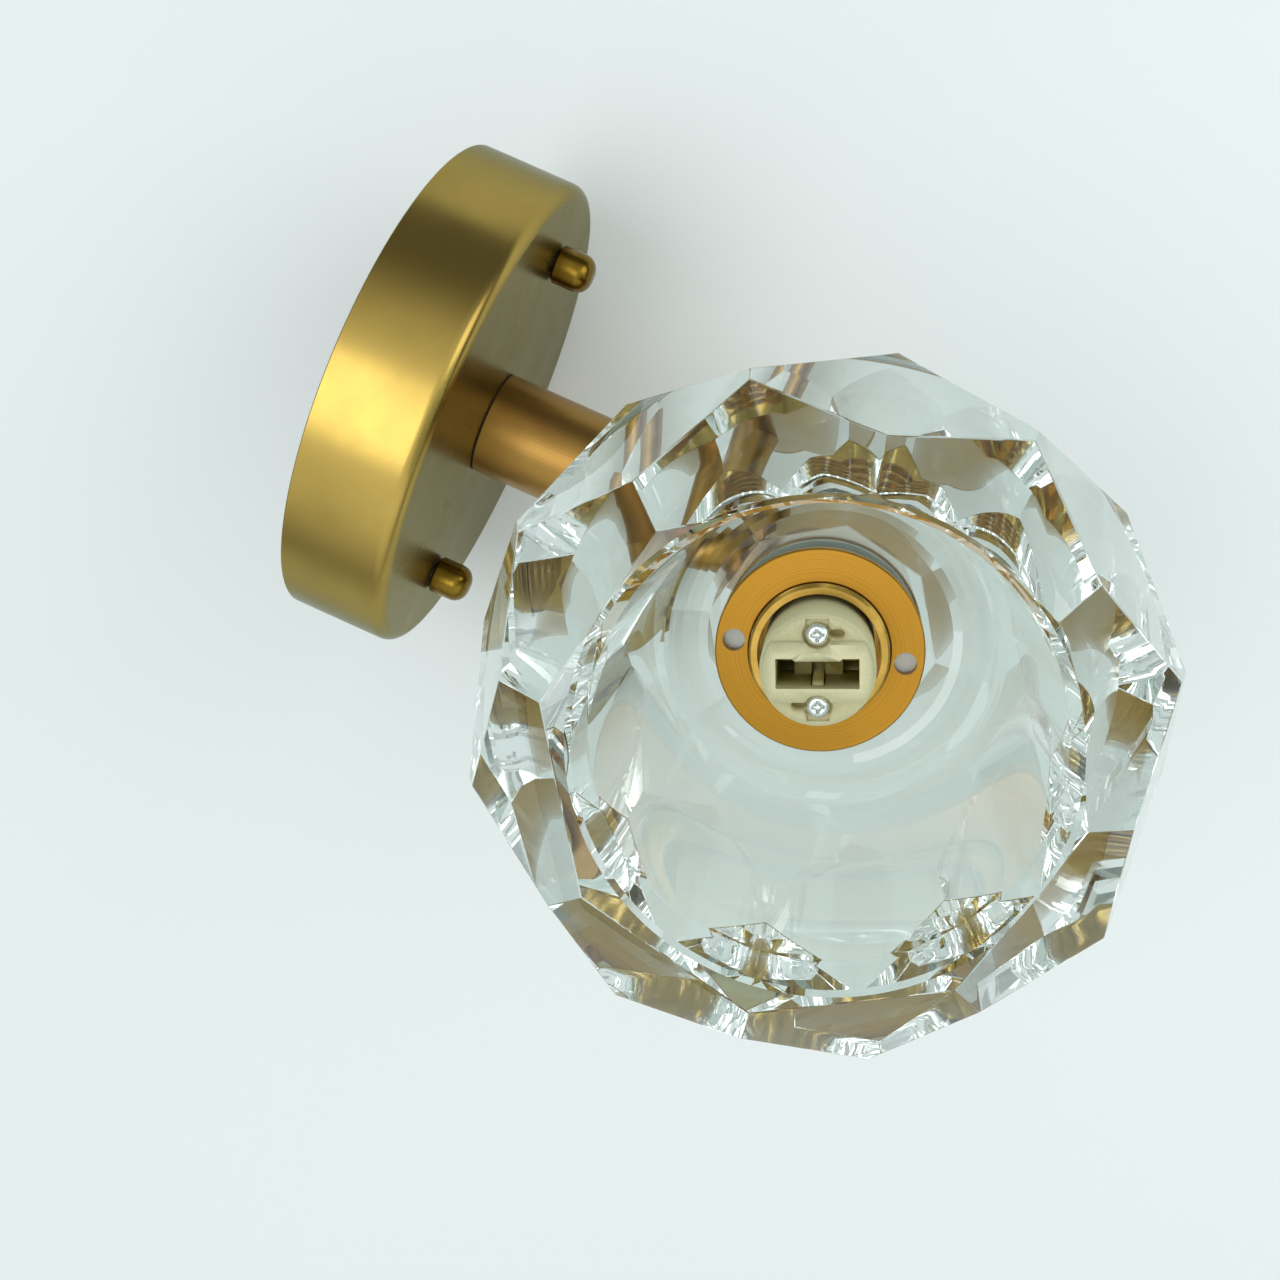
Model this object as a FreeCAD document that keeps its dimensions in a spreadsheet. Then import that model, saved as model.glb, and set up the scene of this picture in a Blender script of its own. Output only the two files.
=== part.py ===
import FreeCAD, Part
import math
import os
import re

import Sketcher

# Crystal wall sconce, millimetres.  The wall is the plane Y = 0, the sconce stands
# out towards -Y, +Z is up and the faceted crystal bowl opens upwards.  The origin
# is on the wall, at the middle of the wall bracket and on the axis of the arm.

V = FreeCAD.Vector
doc = FreeCAD.newDocument("CrystalWallSconce")

SIZES = (
    # round brass cover on the wall
    ("canopy_diameter", 120.0),
    ("canopy_depth", 25.5),
    ("canopy_wall", 1.5),
    ("canopy_edge_radius", 3.0),
    # steel bar behind the cover
    ("bar_length", 104.0),
    ("bar_width", 18.0),
    ("bar_thickness", 2.0),
    ("bar_corner_radius", 4.0),
    ("cable_hole_diameter", 12.0),
    ("wall_slot_pitch", 56.0),
    ("wall_slot_length", 14.0),
    ("wall_slot_width", 5.0),
    ("earth_screw_offset", 13.0),
    ("earth_screw_diameter", 4.0),
    ("earth_head_diameter", 7.0),
    ("earth_head_height", 2.6),
    ("earth_washer_diameter", 8.0),
    ("earth_washer_thickness", 0.8),
    # studs and domed nuts that hold the cover
    ("stud_pitch", 83.0),
    ("stud_diameter", 4.0),
    ("stud_proud", 6.5),
    ("stud_hole_clearance", 0.3),
    ("stud_nut_flats", 7.0),
    ("stud_nut_height", 3.2),
    ("cap_nut_diameter", 9.5),
    ("cap_nut_length", 9.4),
    ("cap_nut_dome_radius", 3.6),
    ("cap_nut_foot_chamfer", 0.6),
    ("cap_nut_roof", 1.8),
    ("thread_clearance", 0.05),
    ("turning_gap", 0.3),
    # straight arm and the threaded rod inside it
    ("arm_diameter", 25.4),
    ("arm_wall", 1.2),
    ("shade_reach", 115.4),
    ("rod_diameter", 10.0),
    ("rod_bore", 7.0),
    ("rod_clearance", 0.2),
    ("rod_end_proud", 2.0),
    ("rod_nut_flats", 14.0),
    ("rod_nut_height", 4.0),
    ("rod_washer_diameter", 22.0),
    ("rod_washer_thickness", 1.5),
    ("arm_bush_length", 8.0),
    ("arm_bush_setback", 1.0),
    ("saddle_washer_diameter", 17.0),
    ("saddle_washer_thickness", 3.5),
    ("wire_bush_lip", 1.0),
    ("wire_bush_wall", 0.5),
    ("wire_bush_length", 6.0),
    # upright brass cup under the crystal
    ("cup_diameter", 40.0),
    ("cup_wall", 1.5),
    ("cup_drop", 18.0),
    ("base_cap_thickness", 3.0),
    ("base_cap_edge_radius", 1.5),
    ("cap_spigot_length", 4.0),
    ("cap_spigot_wall", 3.0),
    ("lid_thickness", 2.0),
    # threaded sleeve that carries the lampholder and clamps the crystal
    ("sleeve_diameter", 26.4),
    ("sleeve_bore", 23.2),
    ("sleeve_base", 1.5),
    ("sleeve_proud", 2.5),
    ("sleeve_edge_chamfer", 0.4),
    ("nipple_nut_height", 3.5),
    ("nipple_end_proud", 1.0),
    # ring, gaskets and seat of the crystal
    ("ring_height", 85.0),
    ("ring_diameter", 39.6),
    ("ring_thickness", 2.3),
    ("ring_chamfer", 0.3),
    ("ring_fit", 0.08),
    ("spanner_hole_diameter", 4.3),
    ("spanner_hole_pitch", 32.6),
    ("spanner_hole_turn", 106.7),
    ("upper_gasket_diameter", 38.0),
    ("upper_gasket_thickness", 1.0),
    ("lower_gasket_diameter", 39.0),
    ("lower_gasket_thickness", 1.2),
    ("seat_gap", 0.3),
    # faceted crystal bowl
    ("ball_rise", 49.0),
    ("rim_rise", 38.6),
    ("bowl_mouth_radius", 37.4),
    ("bowl_lip_height", 7.0),
    ("bowl_lip_radius", 35.2),
    ("bowl_floor_radius", 30.5),
    ("bowl_corner_radius", 9.0),
    ("bowl_offset", 2.4),
    ("bowl_offset_turn", -24.0),
    ("glass_floor", 14.0),
    ("glass_hole_clearance", 0.5),
    ("facet_turn", 11.6),
    ("row_crown_tilt", 49.4),
    ("row_crown_distance", 53.4),
    ("row_shoulder_tilt", 17.9),
    ("row_shoulder_distance", 55.3),
    ("row_girdle_tilt", -7.9),
    ("row_girdle_distance", 52.9),
    ("row_under_tilt", -32.0),
    ("row_under_distance", 53.6),
    ("row_foot_tilt", -56.0),
    ("glass_foot_radius", 21.4),
    # ceramic lampholder for a two-pin lamp
    ("holder_turn", -65.0),
    ("holder_diameter", 21.0),
    ("holder_proud", 14.5),
    ("holder_cover_height", 14.0),
    ("holder_body_height", 10.0),
    ("holder_edge_chamfer", 0.65),
    ("land_half_width", 5.3),
    ("land_step", 2.5),
    ("lamp_slot_length", 14.9),
    ("lamp_slot_width", 5.5),
    ("lamp_slot_depth", 11.0),
    ("lamp_notch", 0.45),
    ("contact_pocket_length", 3.0),
    ("contact_pocket_floor", 1.5),
    ("window_length", 2.6),
    ("window_depth", 2.7),
    ("window_reach", 2.2),
    ("pillar_thickness", 0.9),
    ("pillar_gap", 0.3),
    ("holder_screw_pitch", 13.3),
    ("holder_screw_diameter", 2.5),
    ("screw_clearance", 0.2),
    ("holder_head_diameter", 4.2),
    ("holder_head_height", 1.8),
    ("holder_head_sink", 1.0),
    ("holder_head_clearance", 0.6),
    ("cross_length", 2.5),
    ("cross_width", 0.6),
    ("cross_depth", 0.9),
    ("screw_channel_length", 2.9),
    ("key_slot_reach", 4.9),
    ("key_slot_width", 1.9),
    ("key_slot_depth", 3.0),
    ("saddle_sheet", 1.0),
    ("saddle_width", 8.0),
    ("saddle_span", 21.0),
    ("saddle_tab", 6.5),
    ("contact_sheet", 0.4),
    ("contact_width", 2.6),
    ("contact_gap", 1.2),
)

sheet = doc.addObject("Spreadsheet::Sheet", "Sizes")
for row, (alias, size) in enumerate(SIZES, start=1):
    sheet.set("A%d" % row, alias)
    sheet.set("B%d" % row, str(size))
    sheet.setAlias("B%d" % row, alias)
doc.recompute()

# Heights and places that follow from the sizes above.
INNER = "(canopy_depth - canopy_wall)"
ARM_BORE = "(arm_diameter / 2 - arm_wall)"
ROD_HOLE = "(rod_diameter / 2 + rod_clearance)"
CUP_INNER = "(cup_diameter / 2 - cup_wall)"
ROD_NUT_FACE = f"({CUP_INNER} - saddle_washer_thickness)"
BOWL_FLOOR = "(ring_height - ring_thickness - seat_gap - upper_gasket_thickness)"
GLASS_FOOT = f"({BOWL_FLOOR} - glass_floor)"
LID_TOP = f"({GLASS_FOOT} - seat_gap - lower_gasket_thickness)"
CUP_TOP = f"({LID_TOP} - lid_thickness)"
SLEEVE_TOP = "(ring_height + sleeve_proud)"
SLEEVE_FLOOR = f"({LID_TOP} + sleeve_base)"
HOLDER_FACE = f"({SLEEVE_TOP} + holder_proud)"
COVER_FOOT = f"({HOLDER_FACE} - holder_cover_height)"
BODY_FOOT = f"({COVER_FOOT} - holder_body_height)"
HEAD_SEAT = f"({HOLDER_FACE} - land_step - holder_head_sink)"
HEAD_BORE = "(holder_head_diameter / 2 + holder_head_clearance)"

FULL_TURN = 360.0
FACETS = 8
HALF_STEP = FULL_TURN / FACETS / 2
BALL_MIDDLE = f"({GLASS_FOOT} + ball_rise)"
BLANK_RADIUS = f"(row_shoulder_distance / cos({HALF_STEP}))"
ROW_FOOT_DISTANCE = "(glass_foot_radius * cos(row_foot_tilt) - ball_rise * sin(row_foot_tilt))"

ALIASES = re.compile(r"\b(" + "|".join(alias for alias, _ in SIZES) + r")\b")
HEX_SIDES = 6
THROUGH_ALL = 400.0
SAME_PLACE = 1e-4
NEARLY_UPRIGHT = 0.99
LEAST_CUT = 1e-6
TOWARDS_ROOM = FreeCAD.Rotation(V(1, 0, 0), 90)
parts = []


def formula(text):
    """The expression with each size named by its cell."""
    return ALIASES.sub(r"Sizes.\1", text)


def value(text):
    """The number that an expression gives now."""
    return float(sheet.evalExpression(formula(text)))


def bind(thing, prop, text):
    thing.setExpression(prop, formula(text))


def place(thing, x="0", y="0", z="0", rotation=None):
    """Puts a piece at a place worked out from the sizes."""
    thing.Placement = FreeCAD.Placement(V(0, 0, 0), rotation or FreeCAD.Rotation())
    for axis, text in (("x", x), ("y", y), ("z", z)):
        bind(thing, "Placement.Base." + axis, text)
    return thing


def turn_upright(thing, angle):
    """Turns a piece about the vertical by an angle from the sheet."""
    thing.Placement.Rotation = FreeCAD.Rotation(V(0, 0, 1), 1.0)
    bind(thing, "Placement.Rotation.Angle", angle)
    return thing


def keep(thing, label):
    """Marks an object as a finished piece, with the name of its node."""
    thing.Label = label
    parts.append(thing)
    return thing


def new_body(label):
    body = doc.addObject("PartDesign::Body", label)
    return keep(body, label)


def sketch_on(body, role, turn=None, lift=None):
    """A sketch on an origin plane of the body, turned about the upright axis or lifted."""
    plane = next(item for item in body.Origin.OriginFeatures if item.Role == role)
    sketch = body.newObject("Sketcher::SketchObject", body.Name + "_sketch")
    sketch.AttachmentSupport = [(plane, "")]
    sketch.MapMode = "FlatFace"
    if turn is not None:
        sketch.AttachmentOffset = FreeCAD.Placement(V(0, 0, 0), FreeCAD.Rotation(V(0, 1, 0), 1.0))
        bind(sketch, "AttachmentOffset.Rotation.Angle", turn)
    if lift is not None:
        bind(sketch, "AttachmentOffset.Base.z", lift)
    return sketch


def fix_point(sketch, geometry, end, x, y):
    """Dimensions one point of a sketch from the sketch's origin."""
    for kind, text, axis in (("DistanceX", x, -2), ("DistanceY", y, -1)):
        size = value(text)
        if text == "0":
            sketch.addConstraint(Sketcher.Constraint("PointOnObject", geometry, end, axis))
            continue
        if size < 0:
            number = sketch.addConstraint(Sketcher.Constraint(kind, geometry, end, -1, 1, -size))
            bind(sketch, "Constraints[%d]" % number, f"-({text})")
        else:
            number = sketch.addConstraint(Sketcher.Constraint(kind, -1, 1, geometry, end, size))
            bind(sketch, "Constraints[%d]" % number, text)


def polygon(sketch, points):
    """A closed outline of straight lines, every corner dimensioned."""
    corners = [V(value(x), value(y), 0) for x, y in points]
    first = len(sketch.Geometry)
    count = len(corners)
    for i in range(count):
        sketch.addGeometry(Part.LineSegment(corners[i], corners[(i + 1) % count]), False)
    for i in range(count):
        following = first + (i + 1) % count
        sketch.addConstraint(Sketcher.Constraint("Coincident", first + i, 2, following, 1))
    for i, (x, y) in enumerate(points):
        fix_point(sketch, first + i, 1, x, y)


def rectangle(sketch, x0, x1, y0, y1):
    polygon(sketch, ((x0, y0), (x1, y0), (x1, y1), (x0, y1)))


def circle(sketch, x, y, radius):
    """A dimensioned circle."""
    centre = V(value(x), value(y), 0)
    index = sketch.addGeometry(Part.Circle(centre, V(0, 0, 1), value(radius)), False)
    fix_point(sketch, index, 3, x, y)
    number = sketch.addConstraint(Sketcher.Constraint("Radius", index, value(radius)))
    bind(sketch, "Constraints[%d]" % number, radius)


def slot(sketch, x, y, length, width):
    """A slot with round ends along X, centred at x and y."""
    radius = value(width) / 2
    half = value(f"({length} - {width}) / 2")
    middle = value(x)
    left = V(middle - half, value(y), 0)
    right = V(middle + half, value(y), 0)
    up = V(0, radius, 0)
    first = len(sketch.Geometry)
    left_end = Part.Circle(left, V(0, 0, 1), radius)
    right_end = Part.Circle(right, V(0, 0, 1), radius)
    sketch.addGeometry(Part.ArcOfCircle(left_end, math.pi / 2, 3 * math.pi / 2), False)
    sketch.addGeometry(Part.LineSegment(left - up, right - up), False)
    sketch.addGeometry(Part.ArcOfCircle(right_end, -math.pi / 2, math.pi / 2), False)
    sketch.addGeometry(Part.LineSegment(right + up, left + up), False)
    for i in range(4):
        sketch.addConstraint(Sketcher.Constraint("Tangent", first + i, 2, first + (i + 1) % 4, 1))
    fix_point(sketch, first, 3, f"{x} - ({length} - {width}) / 2", y)
    fix_point(sketch, first + 2, 3, f"{x} + ({length} - {width}) / 2", y)
    number = sketch.addConstraint(Sketcher.Constraint("Radius", first, radius))
    bind(sketch, "Constraints[%d]" % number, f"{width} / 2")


def turned(body, points, turn=None, cut=False):
    """A shape turned on a lathe: an outline of radius and height, spun about the upright axis."""
    sketch = sketch_on(body, "XZ_Plane", turn)
    polygon(sketch, points)
    kind = "PartDesign::Groove" if cut else "PartDesign::Revolution"
    feature = body.newObject(kind, body.Name + "_turned")
    feature.Profile = sketch
    feature.ReferenceAxis = (sketch, ["V_Axis"])
    feature.Angle = FULL_TURN
    sketch.Visibility = False
    doc.recompute()
    return feature


def pad(body, sketch, height, both_ways=False):
    feature = body.newObject("PartDesign::Pad", body.Name + "_pad")
    feature.Profile = sketch
    bind(feature, "Length", height)
    feature.Midplane = both_ways
    sketch.Visibility = False
    doc.recompute()
    return feature


def pocket(body, sketch, depth=None):
    """Cuts down from the sketch by a depth, or right through both ways."""
    before = body.Shape.Volume
    feature = body.newObject("PartDesign::Pocket", body.Name + "_pocket")
    feature.Profile = sketch
    if depth is None:
        feature.Midplane = True
        feature.Length = THROUGH_ALL
    else:
        bind(feature, "Length", depth)
    sketch.Visibility = False
    doc.recompute()
    if body.Shape.Volume >= before - LEAST_CUT:
        raise RuntimeError("a cut of " + body.Label + " takes nothing away")
    return feature


def ring_edges(shape, rings):
    """Names of the circular edges with a given radius and height."""
    found = []
    for radius, height in rings:
        for number, edge in enumerate(shape.Edges, start=1):
            curve = edge.Curve
            if not isinstance(curve, Part.Circle):
                continue
            near = abs(curve.Radius - value(radius)) < SAME_PLACE
            if near and abs(curve.Center.z - value(height)) < SAME_PLACE:
                found.append("Edge%d" % number)
    return found


def dress(body, kind, size, rings):
    """Rounds or chamfers the circular edges named by radius and height."""
    feature = body.newObject("PartDesign::" + kind, body.Name + "_edge")
    feature.Base = (feature.BaseFeature, ring_edges(feature.BaseFeature.Shape, rings))
    bind(feature, "Radius" if kind == "Fillet" else "Size", size)
    doc.recompute()
    return feature


def cylinder(radius, height, x="0", y="0", z="0", rotation=None):
    item = doc.addObject("Part::Cylinder", "Cylinder")
    bind(item, "Radius", radius)
    bind(item, "Height", height)
    return place(item, x, y, z, rotation)


def cut(base, tool):
    item = doc.addObject("Part::Cut", "Cut")
    item.Base = base
    item.Tool = tool
    return item


def tube(outer, inner, height):
    return cut(cylinder(outer, height), cylinder(inner, height))


def hex_nut(flats, height, bore):
    """A plain hexagon nut standing on its face, with the thread as a smooth bore."""
    item = doc.addObject("Part::Prism", "Hexagon")
    item.Polygon = HEX_SIDES
    bind(item, "Circumradius", f"{flats} / 2 / cos({FULL_TURN / HEX_SIDES / 2})")
    bind(item, "Height", height)
    return cut(item, cylinder(bore, height))


def group(label, pieces):
    """Identical pieces that share one node."""
    item = doc.addObject("Part::Compound", label)
    item.Links = pieces
    return keep(item, label)


# --- fixing to the wall -------------------------------------------------------

def wall_bracket():
    """Pressed steel bar with a cable hole, two wall slots and three tapped holes."""
    body = new_body("wall_bracket")
    sketch = sketch_on(body, "XY_Plane")
    rectangle(sketch, "-bar_length / 2", "bar_length / 2", "-bar_width / 2", "bar_width / 2")
    pad(body, sketch, "bar_thickness")
    corners = body.newObject("PartDesign::Fillet", "bar_corners")
    base = corners.BaseFeature
    upright = [
        "Edge%d" % number
        for number, edge in enumerate(base.Shape.Edges, start=1)
        if abs(edge.tangentAt(edge.FirstParameter).z) > NEARLY_UPRIGHT
    ]
    corners.Base = (base, upright)
    bind(corners, "Radius", "bar_corner_radius")
    doc.recompute()
    sketch = sketch_on(body, "XY_Plane")
    circle(sketch, "0", "0", "cable_hole_diameter / 2")
    circle(sketch, "stud_pitch / 2", "0", "stud_diameter / 2")
    circle(sketch, "-stud_pitch / 2", "0", "stud_diameter / 2")
    circle(sketch, "-earth_screw_offset", "0", "earth_screw_diameter / 2")
    slot(sketch, "wall_slot_pitch / 2", "0", "wall_slot_length", "wall_slot_width")
    slot(sketch, "-wall_slot_pitch / 2", "0", "wall_slot_length", "wall_slot_width")
    pocket(body, sketch)
    place(body, rotation=TOWARDS_ROOM)


def bracket_studs():
    """Two threaded studs screwed through the bar, long enough to pass the cover."""
    length = "canopy_depth + stud_proud"
    group("bracket_studs", [
        cylinder("stud_diameter / 2", length, x=side + "stud_pitch / 2", rotation=TOWARDS_ROOM)
        for side in ("", "-")
    ])


def stud_lock_nuts():
    """Two hexagon nuts that lock the studs on the bar."""
    nuts = []
    for side in ("", "-"):
        nut = hex_nut("stud_nut_flats", "stud_nut_height", "stud_diameter / 2")
        nuts.append(place(nut, side + "stud_pitch / 2", "-bar_thickness", "0", TOWARDS_ROOM))
    group("stud_lock_nuts", nuts)


def earth_terminal():
    """Pan-head screw and washer for the earth lead, in the bar."""
    screw = new_body("earth_screw")
    shank = "(bar_thickness + earth_washer_thickness)"
    top = shank + " + earth_head_height"
    turned(screw, (
        ("0", "0"),
        ("earth_screw_diameter / 2", "0"),
        ("earth_screw_diameter / 2", shank),
        ("earth_head_diameter / 2", shank),
        ("earth_head_diameter / 2", top),
        ("0", top),
    ))
    dress(screw, "Fillet", "earth_head_height / 3", [("earth_head_diameter / 2", top)])
    place(screw, "-earth_screw_offset", rotation=TOWARDS_ROOM)
    washer_hole = "earth_screw_diameter / 2 + screw_clearance"
    washer = tube("earth_washer_diameter / 2", washer_hole, "earth_washer_thickness")
    place(washer, "-earth_screw_offset", "-bar_thickness", "0", TOWARDS_ROOM)
    keep(washer, "earth_washer")


def canopy():
    """Spun brass cover: closed front with a rounded edge, open at the wall."""
    body = new_body("canopy")
    outer = "canopy_diameter / 2"
    inner = "canopy_diameter / 2 - canopy_wall"
    turned(body, (
        (inner, "0"),
        (outer, "0"),
        (outer, "canopy_depth"),
        ("0", "canopy_depth"),
        ("0", INNER),
        (inner, INNER),
    ))
    dress(body, "Fillet", "canopy_edge_radius", [(outer, "canopy_depth")])
    dress(body, "Fillet", "canopy_edge_radius - canopy_wall / 2", [(inner, INNER)])
    sketch = sketch_on(body, "XY_Plane")
    circle(sketch, "0", "0", ROD_HOLE)
    stud_hole = "stud_diameter / 2 + stud_hole_clearance"
    circle(sketch, "stud_pitch / 2", "0", stud_hole)
    circle(sketch, "-stud_pitch / 2", "0", stud_hole)
    pocket(body, sketch)
    place(body, rotation=TOWARDS_ROOM)


def cap_nut(label, side):
    """Round brass nut with a domed end and a blind bore, on its stud."""
    body = new_body(label)
    bore = "stud_diameter / 2 + thread_clearance"
    depth = "cap_nut_length - cap_nut_roof"
    turned(body, (
        (bore, "0"),
        ("cap_nut_diameter / 2", "0"),
        ("cap_nut_diameter / 2", "cap_nut_length"),
        ("0", "cap_nut_length"),
        ("0", depth),
        (bore, depth),
    ))
    dress(body, "Fillet", "cap_nut_dome_radius", [("cap_nut_diameter / 2", "cap_nut_length")])
    dress(body, "Chamfer", "cap_nut_foot_chamfer", [("cap_nut_diameter / 2", "0")])
    place(body, side + "stud_pitch / 2", "-canopy_depth - turning_gap", "0", TOWARDS_ROOM)


# --- arm ----------------------------------------------------------------------

def arm_tube():
    """Straight brass tube, square at the cover and coped to fit the round cup."""
    length = "shade_reach - canopy_depth"
    blank = cut(cylinder("arm_diameter / 2", length), cylinder(ARM_BORE, length))
    place(blank, y="-canopy_depth", rotation=TOWARDS_ROOM)
    cope = cylinder("cup_diameter / 2", "arm_diameter * 2", y="-shade_reach", z="-arm_diameter")
    keep(cut(blank, cope), "arm_tube")


def arm_bushes():
    """Two turned rings that centre the rod in the arm."""
    first = tube(ARM_BORE, ROD_HOLE, "arm_bush_length")
    place(first, y="-canopy_depth", rotation=TOWARDS_ROOM)
    keep(first, "arm_wall_bush")
    second = tube(ARM_BORE, ROD_HOLE, "arm_bush_length")
    far = "-(shade_reach - cup_diameter / 2 - arm_bush_setback - arm_bush_length)"
    place(second, y=far, rotation=TOWARDS_ROOM)
    keep(second, "arm_cup_bush")


def arm_rod():
    """Hollow threaded rod that pulls the cover, arm and cup together and carries the leads."""
    start = f"({INNER} - rod_washer_thickness - rod_nut_height - rod_end_proud)"
    end = f"(shade_reach - {ROD_NUT_FACE} + rod_nut_height + rod_end_proud)"
    rod = tube("rod_diameter / 2", "rod_bore / 2", f"{end} - {start}")
    place(rod, y="-" + start, rotation=TOWARDS_ROOM)
    keep(rod, "arm_rod")
    bush = new_body("wire_bush")
    bore = "rod_bore / 2 - wire_bush_wall"
    turned(bush, (
        (bore, "0"),
        ("rod_diameter / 2", "0"),
        ("rod_diameter / 2", "wire_bush_lip"),
        ("rod_bore / 2", "wire_bush_lip"),
        ("rod_bore / 2", "wire_bush_length"),
        (bore, "wire_bush_length"),
    ))
    place(bush, y=f"-({start} - wire_bush_lip)", rotation=TOWARDS_ROOM)


def rod_fasteners():
    """Washer and nut inside the cover; saddle washer and nut inside the cup."""
    washer = tube("rod_washer_diameter / 2", ROD_HOLE, "rod_washer_thickness")
    place(washer, y=f"-({INNER} - rod_washer_thickness)", rotation=TOWARDS_ROOM)
    keep(washer, "wall_washer")
    nut = hex_nut("rod_nut_flats", "rod_nut_height", "rod_diameter / 2")
    place(nut, y=f"-({INNER} - rod_washer_thickness - rod_nut_height)", rotation=TOWARDS_ROOM)
    keep(nut, "wall_nut")
    disc = tube("saddle_washer_diameter / 2", ROD_HOLE, "saddle_washer_thickness * 2")
    place(disc, y=f"-(shade_reach - {ROD_NUT_FACE} - saddle_washer_thickness * 2)",
          rotation=TOWARDS_ROOM)
    wall = cylinder(CUP_INNER, "cup_diameter", y="-shade_reach", z="-cup_diameter / 2")
    saddle = doc.addObject("Part::Common", "SaddleWasher")
    saddle.Base = disc
    saddle.Tool = wall
    keep(saddle, "saddle_washer")
    cup_nut = hex_nut("rod_nut_flats", "rod_nut_height", "rod_diameter / 2")
    place(cup_nut, y=f"-(shade_reach - {ROD_NUT_FACE})", rotation=TOWARDS_ROOM)
    keep(cup_nut, "cup_nut")


# --- cup ----------------------------------------------------------------------

def socket_cup():
    """Upright brass tube with a round hole in its side for the threaded rod."""
    height = f"{CUP_TOP} + cup_drop"
    shell = tube("cup_diameter / 2", CUP_INNER, height)
    place(shell, y="-shade_reach", z="-cup_drop")
    hole = cylinder(ROD_HOLE, "cup_diameter", y="-(shade_reach - cup_diameter)",
                    rotation=TOWARDS_ROOM)
    keep(cut(shell, hole), "socket_cup")


def base_cap():
    """Turned cap that closes the foot of the cup, with a hollow spigot."""
    body = new_body("cup_base_cap")
    hollow = f"{CUP_INNER} - cap_spigot_wall"
    turned(body, (
        ("0", "0"),
        ("cup_diameter / 2", "0"),
        ("cup_diameter / 2", "base_cap_thickness"),
        (CUP_INNER, "base_cap_thickness"),
        (CUP_INNER, "base_cap_thickness + cap_spigot_length"),
        (hollow, "base_cap_thickness + cap_spigot_length"),
        (hollow, "base_cap_thickness"),
        ("0", "base_cap_thickness"),
    ))
    dress(body, "Fillet", "base_cap_edge_radius", [("cup_diameter / 2", "0")])
    place(body, y="-shade_reach", z="-cup_drop - base_cap_thickness")


def cup_lid():
    """Turned lid of the cup, the seat of the crystal, with a hollow spigot."""
    body = new_body("cup_lid")
    hollow = f"{CUP_INNER} - cap_spigot_wall"
    turned(body, (
        (hollow, "0"),
        (CUP_INNER, "0"),
        (CUP_INNER, "cap_spigot_length"),
        ("cup_diameter / 2", "cap_spigot_length"),
        ("cup_diameter / 2", "cap_spigot_length + lid_thickness"),
        (ROD_HOLE, "cap_spigot_length + lid_thickness"),
        (ROD_HOLE, "cap_spigot_length"),
        (hollow, "cap_spigot_length"),
    ))
    place(body, y="-shade_reach", z=f"{CUP_TOP} - cap_spigot_length")


def head_nipple():
    """Short hollow nipple with two nuts that fix the sleeve on the lid."""
    low = f"({CUP_TOP} - nipple_nut_height - nipple_end_proud)"
    high = f"({SLEEVE_FLOOR} + saddle_sheet + nipple_nut_height + nipple_end_proud)"
    nipple = tube("rod_diameter / 2", "rod_bore / 2", f"{high} - {low}")
    keep(place(nipple, y="-shade_reach", z=low), "head_nipple")
    lower = hex_nut("rod_nut_flats", "nipple_nut_height", "rod_diameter / 2")
    keep(place(lower, y="-shade_reach", z=f"{CUP_TOP} - nipple_nut_height"), "head_nut_lower")
    upper = hex_nut("rod_nut_flats", "nipple_nut_height", "rod_diameter / 2")
    keep(place(upper, y="-shade_reach", z=f"{SLEEVE_FLOOR} + saddle_sheet"), "head_nut_upper")


def socket_sleeve():
    """Threaded brass sleeve, closed at its foot, that passes up through the crystal."""
    body = new_body("socket_sleeve")
    top = f"{SLEEVE_TOP} - {LID_TOP}"
    turned(body, (
        (ROD_HOLE, "0"),
        ("sleeve_diameter / 2", "0"),
        ("sleeve_diameter / 2", top),
        ("sleeve_bore / 2", top),
        ("sleeve_bore / 2", "sleeve_base"),
        (ROD_HOLE, "sleeve_base"),
    ))
    dress(body, "Chamfer", "sleeve_edge_chamfer", [("sleeve_diameter / 2", top)])
    place(body, y="-shade_reach", z=LID_TOP)


# --- lampholder ---------------------------------------------------------------

def holder_saddle():
    """Bent steel bracket: round foot under the nipple nut, two legs and two tapped tabs."""
    body = new_body("holder_saddle")
    sketch = sketch_on(body, "XZ_Plane")
    leg = "saddle_span / 2"
    inside = "saddle_span / 2 - saddle_sheet"
    tab = "saddle_span / 2 - saddle_tab"
    height = f"{BODY_FOOT} - {SLEEVE_FLOOR}"
    polygon(sketch, (
        ("-" + leg, "0"),
        (leg, "0"),
        (leg, height),
        (tab, height),
        (tab, f"{height} - saddle_sheet"),
        (inside, f"{height} - saddle_sheet"),
        (inside, "saddle_sheet"),
        (f"-({inside})", "saddle_sheet"),
        (f"-({inside})", f"{height} - saddle_sheet"),
        (f"-({tab})", f"{height} - saddle_sheet"),
        (f"-({tab})", height),
        ("-" + leg, height),
    ))
    pad(body, sketch, "saddle_width", both_ways=True)
    sketch = sketch_on(body, "XY_Plane")
    circle(sketch, "0", "0", leg)
    pad(body, sketch, "saddle_sheet")
    sketch = sketch_on(body, "XY_Plane")
    circle(sketch, "0", "0", ROD_HOLE)
    circle(sketch, "holder_screw_pitch / 2", "0", "holder_screw_diameter / 2")
    circle(sketch, "-holder_screw_pitch / 2", "0", "holder_screw_diameter / 2")
    pocket(body, sketch)
    place(body, y="-shade_reach", z=SLEEVE_FLOOR)
    turn_upright(body, "holder_turn + 90")


def screw_holes(sketch, radius):
    circle(sketch, "0", "holder_screw_pitch / 2", radius)
    circle(sketch, "0", "-holder_screw_pitch / 2", radius)


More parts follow.
